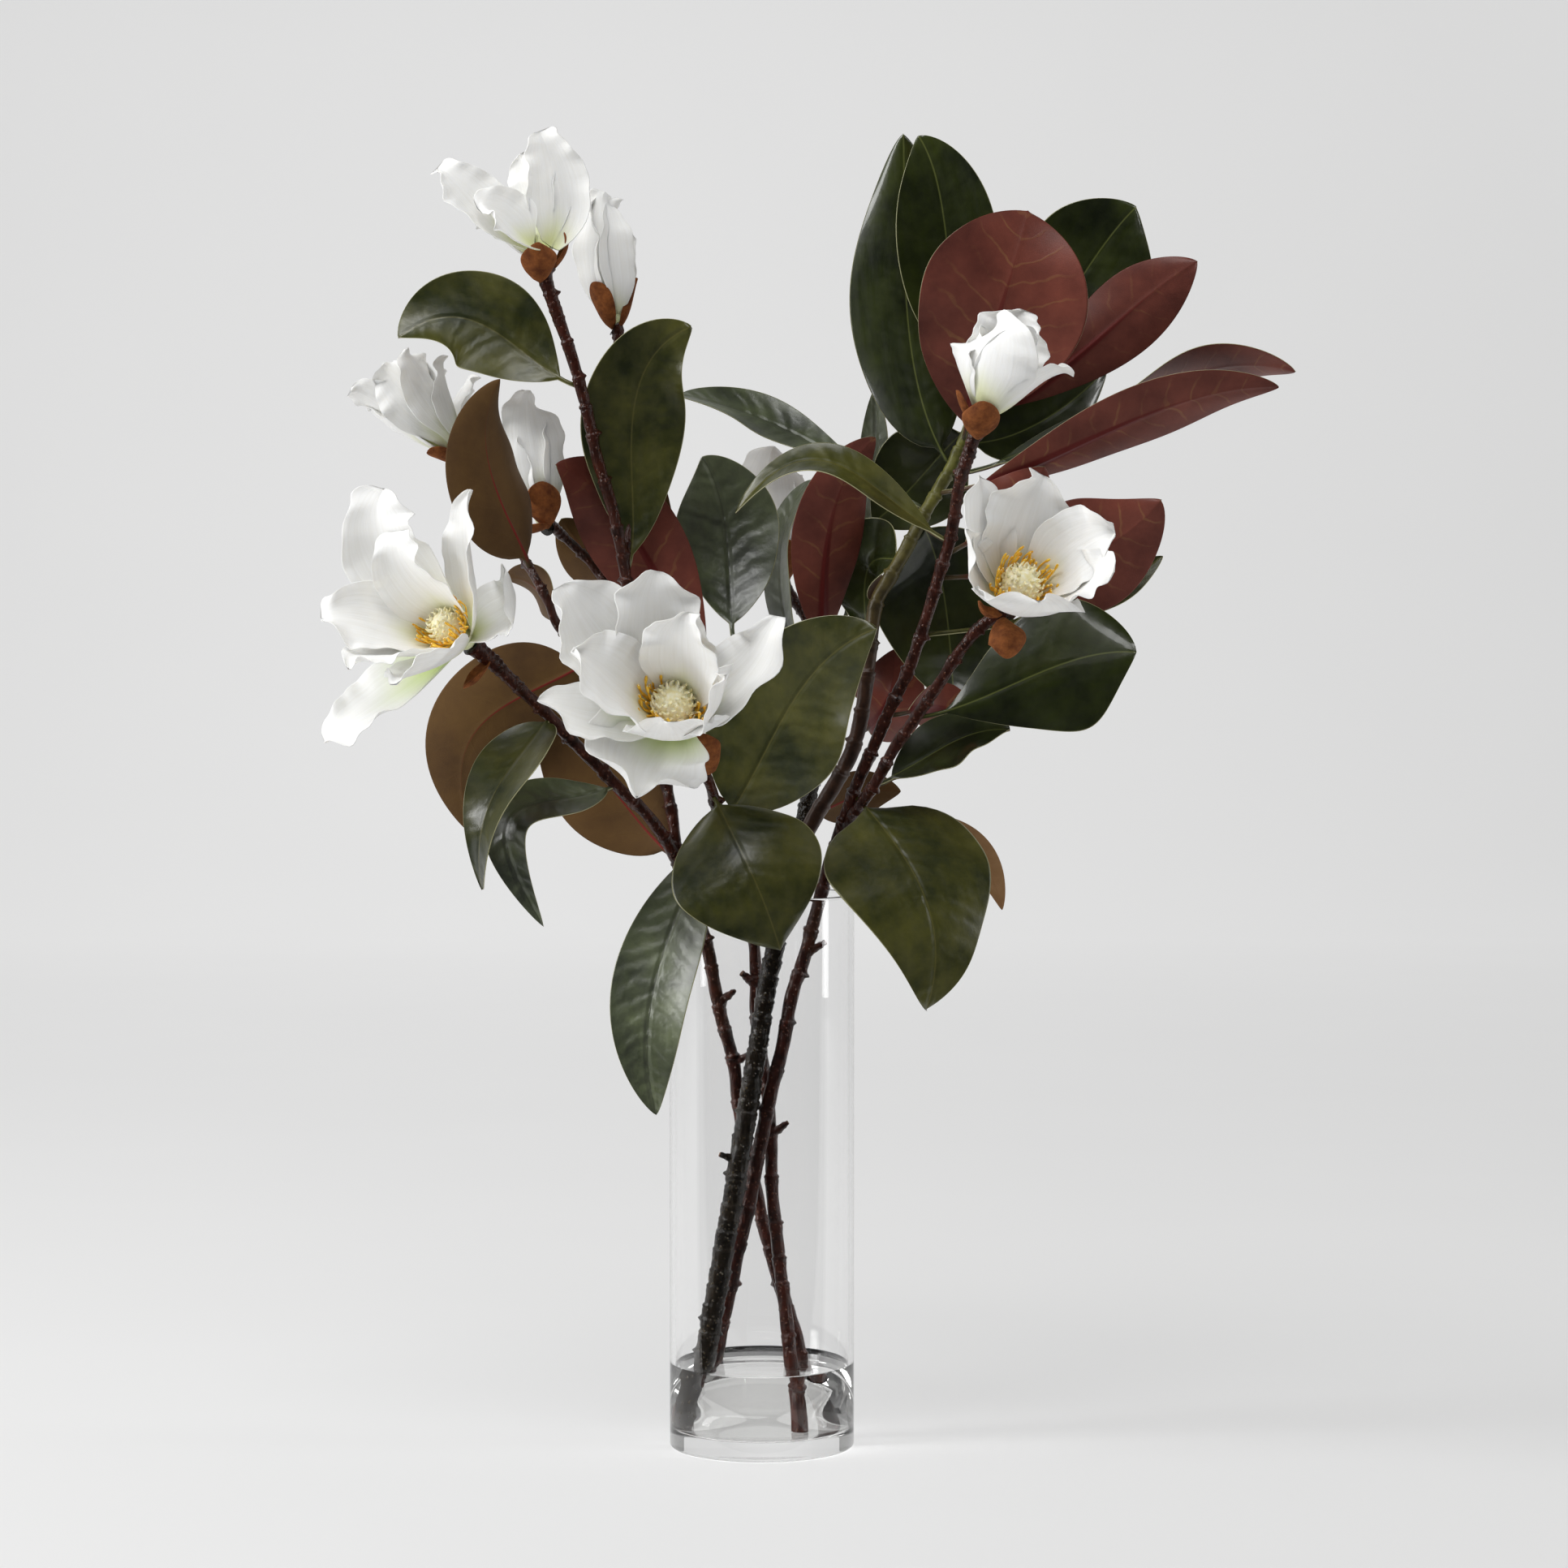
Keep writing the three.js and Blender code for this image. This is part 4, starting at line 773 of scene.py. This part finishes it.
def leaf_back(name, ground, pale, vein_code, rib, rib_mm, vein_share, rough, sheen):
    """Underside of the leaf: dull and suede-like, with faint side veins and a coloured midrib
    that is thick at the stalk and thins out towards the tip."""
    mat = material(name)
    span, away, edge, along, wave = side_veins(mat, 14.0, 13.0)
    line = put(mat, "MapRange", {"interpolation_type": "SMOOTHSTEP", 1: 0.9, 2: 1.0}, {0: wave})
    fade = put(mat, "MapRange", {1: 0.55, 2: 0.95, 3: 1.0, 4: 0.0}, {0: edge})
    vein = put(mat, "Math", {"operation": "MULTIPLY"}, {0: line, 1: fade})
    place = put(mat, "TexCoord").outputs["Object"]
    cloud, base = clouding(mat, place, {"Scale": 26.0, "Detail": 6.0, "Roughness": 0.62},
                           (0.34, ground), (0.7, pale))
    patchy = put(mat, "MapRange", {1: 0.4, 2: 0.65, 3: 0.0, 4: vein_share}, {0: cloud})
    show = put(mat, "Math", {"operation": "MULTIPLY"}, {0: vein, 1: patchy})
    veined = put(mat, "Mix", {"data_type": "RGBA", 7: colour(vein_code)}, {
        0: show, 6: base})
    reach = put(mat, "MapRange", {1: 0.0, 2: 0.75, 3: rib_mm, 4: 0.25}, {0: along})
    inside = put(mat, "Math", {"operation": "DIVIDE"}, {0: away, 1: reach})
    rib_line = put(mat, "MapRange", {1: 0.7, 2: 1.15, 3: 1.0, 4: 0.0}, {0: inside})
    thin = put(mat, "MapRange", {1: 0.45, 2: 0.8, 3: 1.0, 4: 0.1}, {0: along})
    rib_mask = put(mat, "Math", {"operation": "MULTIPLY"}, {0: rib_line, 1: thin})
    ribbed = put(mat, "Mix", {"data_type": "RGBA", 7: colour(rib)}, {
        0: rib_mask, 6: veined.outputs[2]})
    stalk = put(mat, "MapRange", {1: 0.03, 2: 0.09, 3: 0.85, 4: 0.0}, {0: along})
    stalked = put(mat, "Mix", {"data_type": "RGBA", 7: colour("#3a3619")}, {
        0: stalk, 6: ribbed.outputs[2]})
    grain = put(mat, "TexNoise", {"Scale": 1.6, "Detail": 3.0}, {"Vector": span})
    height = put(mat, "Math", {"operation": "MULTIPLY_ADD", 1: 0.5}, {0: vein, 2: grain})
    bump = put(mat, "Bump", {"Strength": 0.2, "Distance": 0.0004}, {"Height": height})
    return surface(mat, {"Roughness": rough, "Sheen Weight": sheen, "Sheen Roughness": 0.5,
                         "Specular IOR Level": 0.35}, {
        "Base Color": stalked.outputs[2], "Normal": bump})


def petal_skin(name, base, reach):
    """Petal: thick white tissue, soft and a little see-through, all but smooth, with the
    faintest lengthwise ribs and a tint where it leaves the heart."""
    mat = material(name)
    share = put(mat, "UVMap", {"uv_map": "share"})
    part = put(mat, "SeparateXYZ", links={0: share})
    fan = put(mat, "Mapping", {"Scale": (8.0, 0.8, 1.0)}, {"Vector": share})
    fibre, white = clouding(mat, fan, {"Scale": 1.5, "Detail": 5.0, "Roughness": 0.6},
                            (0.3, "#f1f0ec"), (0.65, "#f9f9f7"))
    centre = put(mat, "Math", {"operation": "ABSOLUTE"}, {0: part.outputs[0]})
    narrow = put(mat, "Math", {"operation": "MULTIPLY_ADD", 1: 0.22}, {
        0: centre, 2: part.outputs[1]})
    tint = put(mat, "MapRange", {"interpolation_type": "SMOOTHSTEP", 1: 0.05, 2: reach,
                                           3: 0.9, 4: 0.0}, {0: narrow})
    shade = put(mat, "Mix", {"data_type": "RGBA", 7: colour(base)}, {0: tint, 6: white})
    bump = put(mat, "Bump", {"Strength": 0.3, "Distance": 0.0007}, {"Height": fibre})
    return surface(mat, {
        "Roughness": 0.5, "IOR": 1.4, "Specular IOR Level": 0.35, "Subsurface Weight": 0.35,
        "Subsurface Radius": (1.0, 0.92, 0.8), "Subsurface Scale": 0.0022,
        "Sheen Weight": 0.08, "Sheen Roughness": 0.4}, {
        "Base Color": shade.outputs[2], "Normal": bump})


def bark(name, ground, mottle, fleck, rough, gloss, ring_mm):
    """Young bark: smooth skin with fine lengthwise wrinkles and small raised pores."""
    mat = material(name)
    place = put(mat, "TexCoord").outputs["Object"]
    _, skin = clouding(mat, place, {"Scale": 130.0, "Detail": 5.0, "Roughness": 0.65},
                       (0.3, ground), (0.75, mottle))
    pore = put(mat, "TexVoronoi", {"Scale": 420.0}, {"Vector": place})
    dot = put(mat, "MapRange", {1: 0.12, 2: 0.3, 3: 0.45, 4: 0.0}, {
        0: pore.outputs["Distance"]})
    flecked = put(mat, "Mix", {"data_type": "RGBA", 7: colour(fleck)}, {0: dot, 6: skin})
    squash = put(mat, "Mapping", {"Scale": (1.0, 1.0, 0.18)}, {"Vector": place})
    wrinkle = put(mat, "TexNoise", {"Scale": 520.0, "Detail": 4.0}, {"Vector": squash})
    span = put(mat, "UVMap", {"uv_map": "span"})
    mm = put(mat, "SeparateXYZ", links={0: span})
    turn = put(mat, "Math", {"operation": "MULTIPLY", 1: 2 * math.pi / ring_mm}, {
        0: mm.outputs[1]})
    ring = put(mat, "Math", {"operation": "SINE"}, {0: turn})
    rings = put(mat, "Math", {"operation": "MULTIPLY_ADD", 1: 0.12}, {
        0: ring, 2: wrinkle})
    height = put(mat, "Math", {"operation": "MULTIPLY_ADD", 1: 0.8}, {0: dot, 2: rings})
    bump = put(mat, "Bump", {"Strength": 1.0, "Distance": 0.0009}, {"Height": height})
    return surface(mat, {"Roughness": rough, "IOR": 1.45, "Specular IOR Level": gloss}, {
        "Base Color": flecked.outputs[2], "Normal": bump})


def green_twig(name):
    """This year's growth: olive green at the leafy end, browning down to the old wood."""
    mat = material(name)
    place = put(mat, "TexCoord").outputs["Object"]
    axes = put(mat, "SeparateXYZ", links={0: place})
    young = put(mat, "MapRange", {1: 0.42, 2: 0.53}, {0: axes.outputs[2]})
    cloud, olive = clouding(mat, place, {"Scale": 150.0, "Detail": 4.0}, (0.3, "#3f3d16"),
                            (0.7, "#6a6a2c"))
    brown = put(mat, "ValToRGB", {"stops": [(0.3, "#2a1a12"), (0.7, "#4b3121")]}, {
        0: cloud})
    skin = put(mat, "Mix", {"data_type": "RGBA"}, {0: young, 6: brown, 7: olive})
    wrinkle = put(mat, "TexNoise", {"Scale": 700.0, "Detail": 3.0}, {"Vector": place})
    bump = put(mat, "Bump", {"Strength": 0.35, "Distance": 0.0005}, {"Height": wrinkle})
    return surface(mat, {"Roughness": 0.42, "IOR": 1.45}, {
        "Base Color": skin.outputs[2], "Normal": bump})


def scale_fur(name):
    """Bud scale: rust-brown velvet, dull, with short fur that lightens its edges."""
    mat = material(name)
    place = put(mat, "TexCoord").outputs["Object"]
    _, rust = clouding(mat, place, {"Scale": 160.0, "Detail": 6.0, "Roughness": 0.7},
                       (0.34, "#5a2f17"), (0.68, "#93572c"))
    fur = put(mat, "TexNoise", {"Scale": 1600.0, "Detail": 2.0}, {"Vector": place})
    bump = put(mat, "Bump", {"Strength": 0.6, "Distance": 0.0004}, {"Height": fur})
    return surface(mat, {
        "Roughness": 0.85, "Sheen Weight": 0.35, "Sheen Roughness": 0.4,
        "Sheen Tint": colour("#d09060"), "Specular IOR Level": 0.2}, {
        "Base Color": rust, "Normal": bump})


def plain_tissue(name, low, high, size_mm, rough):
    """Small soft plant parts, in two tones that change every few mm."""
    mat = material(name)
    place = put(mat, "TexCoord").outputs["Object"]
    cloud, tone = clouding(mat, place, {"Scale": 1000.0 / size_mm, "Detail": 3.0},
                           (0.35, low), (0.65, high))
    bump = put(mat, "Bump", {"Strength": 0.2, "Distance": 0.0003}, {"Height": cloud})
    return surface(mat, {"Roughness": rough, "Subsurface Weight": 0.2,
                         "Subsurface Radius": (1.0, 0.8, 0.4), "Subsurface Scale": 0.0015}, {
        "Base Color": tone, "Normal": bump})


def clear_liquid_or_glass(name, tint, ior, ripple):
    """Clear soda-lime glass or water: smooth, with the faintest waviness of a blown wall."""
    mat = material(name)
    place = put(mat, "TexCoord").outputs["Object"]
    wave = put(mat, "TexNoise", {"Scale": 22.0, "Detail": 1.0}, {"Vector": place})
    bump = put(mat, "Bump", {"Strength": ripple, "Distance": 0.0004}, {"Height": wave})
    return surface(mat, {
        "Base Color": colour(tint), "Roughness": 0.0, "IOR": ior, "Transmission Weight": 1.0}, {
        "Normal": bump})


# ---- vase and water ----
def turned(shape, profile, sides):
    """A solid of revolution about the vase's axis, from [radius, height] points on its outline."""
    angle = np.linspace(0, 2 * math.pi, sides + 1)
    r, z = np.array(profile, float).T
    rings = np.stack([r[:, None] * np.cos(angle), r[:, None] * np.sin(angle),
                      z[:, None] + 0 * angle], axis=2)
    run = np.concatenate([[0], np.cumsum(np.hypot(np.diff(r), np.diff(z)))])
    span = np.stack([r[:, None] * angle, run[:, None] + 0 * angle], axis=2)
    share = np.stack([0 * r[:, None] + angle / (2 * math.pi),
                      (run / run[-1])[:, None] + 0 * angle], axis=2)
    shape.skin(rings[:, :-1], span, share, 0)


def corner(r, z, size, start, points=7):
    """A rounded corner about [r, z], from the angle start on by a quarter turn, in degrees."""
    turn = np.radians(np.linspace(start, start + 90, points))
    return [(r + size * math.cos(a), z + size * math.sin(a)) for a in turn]


def vase(glass):
    inner = VASE_R - WALL
    rim, foot = 1.45, 1.6
    outline = [
        (0.02, 0), (VASE_R - foot - 0.5, 0), *corner(VASE_R - foot, foot, foot, -90),
        (VASE_R, foot + 0.5), (VASE_R, VASE_H - rim - 0.5),
        *corner(VASE_R - rim, VASE_H - rim, rim, 0),
        *corner(inner + rim, VASE_H - rim, rim, 90), (inner, VASE_H - rim - 0.5),
        (inner, GLASS_FLOOR + WELL + 0.5),
        *corner(inner - WELL, GLASS_FLOOR + WELL, WELL, -90)[::-1],
        (inner - WELL - 0.5, GLASS_FLOOR), (0.02, GLASS_FLOOR)]
    shape = Shape()
    turned(shape, outline, VASE_SIDES)
    cylinder = shape.build("vase_glass", [glass], "glass", ["vase"])
    cylinder.visible_shadow = False  # clear, so light reaches the stems


def water(clear):
    """Water up to the wall, which it wets, so that it creeps up a little there."""
    wet, floor = VASE_R - WALL + SOAK, GLASS_FLOOR - SOAK
    creep = [(wet - CREEP_WIDE * (1 - k), WATER_TOP + CREEP_HIGH * k**3)
             for k in np.linspace(0, 1, 9)]
    outline = [
        (0.02, floor), (wet - WELL - 0.5, floor), *corner(wet - WELL, floor + WELL, WELL, -90),
        (wet, GLASS_FLOOR + WELL + 0.5), *creep[::-1], (0.02, WATER_TOP)]
    shape = Shape()
    turned(shape, outline, VASE_SIDES)
    fill = shape.build("water_fill", [clear], "water", ["water"])
    fill.visible_shadow = False


# ---- floor, light and camera ----
def studio_sheet(name, points, faces, mat):
    """A sheet that stands in the studio and isn't part of the object."""
    mesh = bpy.data.meshes.new(name)
    mesh.from_pydata(points, [], faces)
    mesh.materials.append(mat)
    sheet = bpy.data.objects.new(name, mesh)
    bpy.context.scene.collection.objects.link(sheet)
    return sheet


def backdrop():
    """A seamless sweep of pale paper: floor, a wide curve and a wall. The paper glows with painted
    light, stronger towards the wall and strongest near a spot left of centre, low down.
    """
    side, front, back, top, bend = 5.0, -4.5, 3.4, 5.5, 1.4
    curve = [(back + bend * math.sin(a), bend * (1 - math.cos(a)))
             for a in np.linspace(0, math.pi / 2, 24)]
    line = [(front, 0.0), (-1.0, 0.0), (1.0, 0.0), *curve, (back + bend, top)]
    points = [(x, y, z - UNDER) for y, z in line for x in (-side, side)]
    faces = [(2 * i, 2 * i + 1, 2 * i + 3, 2 * i + 2) for i in range(len(line) - 1)]
    mat = material("backdrop paper, matt, painted glow")
    place = put(mat, "TexCoord").outputs["Object"]
    _, tone = clouding(mat, place, {"Scale": 3.0, "Detail": 2.0}, (0.3, "#a9a9a9"),
                       (0.7, "#ababab"))
    axes = put(mat, "SeparateXYZ", links={0: place})
    # Painted light: the glow rises from 0.43 at the vase to 0.59 at the wall, 3.6 m behind.
    deeper = put(mat, "MapRange", {1: 0.0, 2: 3.6, 3: 0.43, 4: 0.59}, {
        0: axes.outputs[1]})
    # Painted light: the glow falls off by up to a sixth with distance from a spot 0.45 m left of
    # centre and 0.3 m up, like a pool of lamp light.
    spread = put(mat, "Mapping", {
        "Location": (0.45, 0.0, -0.3), "Scale": (1.0, 0.0, 1.0)}, {"Vector": place})
    aside = put(mat, "VectorMath", {"operation": "LENGTH"}, {0: spread})
    fall = put(mat, "MapRange", {1: 0.0, 2: 1.9, 3: 1.0, 4: 0.84}, {
        0: aside.outputs["Value"]})
    glow = put(mat, "Math", {"operation": "MULTIPLY"}, {0: deeper, 1: fall})
    surface(mat, {"Roughness": 0.9, "Specular IOR Level": 0.1,
                  "Emission Color": colour("#ffffff")}, {
        "Base Color": tone, "Emission Strength": glow})
    studio_sheet("backdrop", points, faces, mat).data.shade_smooth()


def dark_reflection_flags():
    """Black felt on the floor in front, behind the lens, at both sides and overhead, as painted
    dark reflections. It shows only in gloss, which stays dark but for the softboxes, and the part
    in front in glass too."""
    wide, front, back, high = 3.4, -3.2, 1.2, 3.6
    line = [(-0.07, 0.001), (front, 0.001), (front, high), (back, high)]
    points = [(x, y, z) for y, z in line for x in (-wide, wide)]
    points += [(x, back, 0.3) for x in (-wide, wide)]
    mat = material("black felt, painted dark reflection")
    place = put(mat, "TexCoord").outputs["Object"]
    _, tone = clouding(mat, place, {"Scale": 40.0, "Detail": 2.0}, (0.3, "#181818"),
                       (0.7, "#1c1c1c"))
    surface(mat, {"Roughness": 1.0, "Specular IOR Level": 0.0}, {"Base Color": tone})
    parts = {"flags in front": [(0, 1, 3, 2), (2, 3, 5, 4)],
             "flags at the sides": [(4, 5, 7, 6), (2, 4, 6, 8), (3, 9, 7, 5)]}
    for name, faces in parts.items():
        card = studio_sheet(name, points, faces, mat)
        # Painted dark reflection: the camera, diffuse light and shadows pass through these sheets.
        card.visible_camera = card.visible_diffuse = card.visible_shadow = False
        card.visible_transmission = name == "flags in front"


def softbox(name, place, target, width, height, watts):
    lamp = bpy.data.lights.new(name, "AREA")
    lamp.shape, lamp.size, lamp.size_y, lamp.energy = "RECTANGLE", width, height, watts
    box = bpy.data.objects.new(name, lamp)
    box.location = place
    aim = np.array(target, float) - np.array(place, float)
    box.rotation_euler = Vector(aim).to_track_quat("-Z", "Y").to_euler()
    bpy.context.scene.collection.objects.link(box)


def studio():
    world = bpy.data.worlds.new("studio")
    world.use_nodes = True
    sky = world.node_tree.nodes["Background"]
    sky.inputs["Color"].default_value = colour("#ebebe9")
    sky.inputs["Strength"].default_value = 0.3
    bpy.context.scene.world = world
    softbox("left softbox", (-2.1, -0.5, 1.2), (0, 0, 0.4), 0.5, 1.8, 32)
    softbox("top softbox", (-0.6, -0.9, 2.2), (0, 0, 0.45), 1.7, 0.7, 24)
    softbox("right strip", (2.2, -0.1, 0.9), (0, 0, 0.4), 0.3, 1.8, 9)
    bpy.context.scene.view_settings.view_transform = "Standard"


def camera():
    lens = bpy.data.cameras.new("camera")
    lens.lens, lens.sensor_width = LENS, SENSOR
    lens.clip_start, lens.clip_end = 0.05, 50
    view = bpy.data.objects.new("camera", lens)
    view.location = (EYE_X * MM, -EYE_FAR * MM, EYE_Z * MM)
    view.rotation_euler = (math.radians(90 - EYE_DROP), 0, 0)
    bpy.context.scene.collection.objects.link(view)
    bpy.context.scene.camera = view


# ---- put together ----
def dress():
    camera()
    studio()
    backdrop()
    dark_reflection_flags()
    olive = leaf_upper("magnolia leaf, waxed olive", "#252b0e", "#545322", "#66602f", 0.34, 0.45,
                       0.22, 0.24)
    dark = leaf_upper("magnolia leaf, glossy deep green", "#151c06", "#333b10", "#757b40", 0.36,
                      0.6, 0.1, 0.1)
    # Copy of the leaf for leaves that catch the light: the stronger gloss is real, and the paler,
    # greyer base is painted sheen.
    silver_sheen = leaf_upper("magnolia leaf, satin, grey from painted sheen", "#2b331c", "#5c6640", "#1a1e0c", 0.42,
                        1.0, 0.36, 0.5, 1.0)
    brown = leaf_back("leaf back, russet suede", "#4c3212", "#63461d", "#6b5020", "#74180f", 0.8,
                      0.06, 0.8, 0.1)
    wine = leaf_back("leaf back, burgundy satin", "#55251c", "#7d3f31", "#9a7444", "#5e120d", 4.4,
                     0.36, 0.42, 0.08)
    tan = leaf_back("leaf back, pale tan suede", "#8a6540", "#ad8860", "#8f6c46", "#7c3f22", 0.8,
                    0.06, 0.8, 0.1)
    trunk = bark("old magnolia bark, wet black-brown", "#060403", "#251d12", "#5a4c31", 0.22, 0.5,
                 9.0)
    twig = bark("magnolia twig, red-brown", "#190805", "#4a2115", "#7d4c33", 0.28, 0.5, 7.0)
    green = green_twig("magnolia shoot, olive")
    cut = plain_tissue("cut wood, damp", "#4a3324", "#6b4c36", 1.5, 0.7)
    velvet = scale_fur("bud scale, rust velvet")
    white = petal_skin("magnolia petal, white", "#dde3a0", 0.5)
    lime = petal_skin("magnolia petal, lime at the base", "#c3d97c", 0.75)
    knob = plain_tissue("bloom heart, green-white", "#cfd6a0", "#e6e8c4", 3.0, 0.6)
    ivory = plain_tissue("carpel, ivory", "#f3e7ae", "#fffae0", 2.0, 0.6)
    yellow = plain_tissue("stamen, golden yellow", "#e9a61c", "#ffd650", 2.5, 0.6)
    glass = clear_liquid_or_glass("soda-lime glass, blown clear", "#ffffff", 1.5, 0.02)
    clear = clear_liquid_or_glass("water", "#fefefd", 1.333, 0.0)
    for name, keys in BRANCHES.items():
        branch(name, keys, [trunk, green, twig, cut], velvet)
    for key, bloom in BLOOMS.items():
        flower(key, bloom, [white, lime, knob])
        if bloom["cone"]:
            cone(key, bloom, ivory, yellow)
    for name, values in LEAVES.items():
        upper = dark if name in GLOSSY else silver_sheen if name in SHEEN_LEAVES else olive
        back = wine if name in BURGUNDY else tan if name in TAN else brown
        leaf(name, values, [upper, back])
    vase(glass)
    water(clear)


dress()
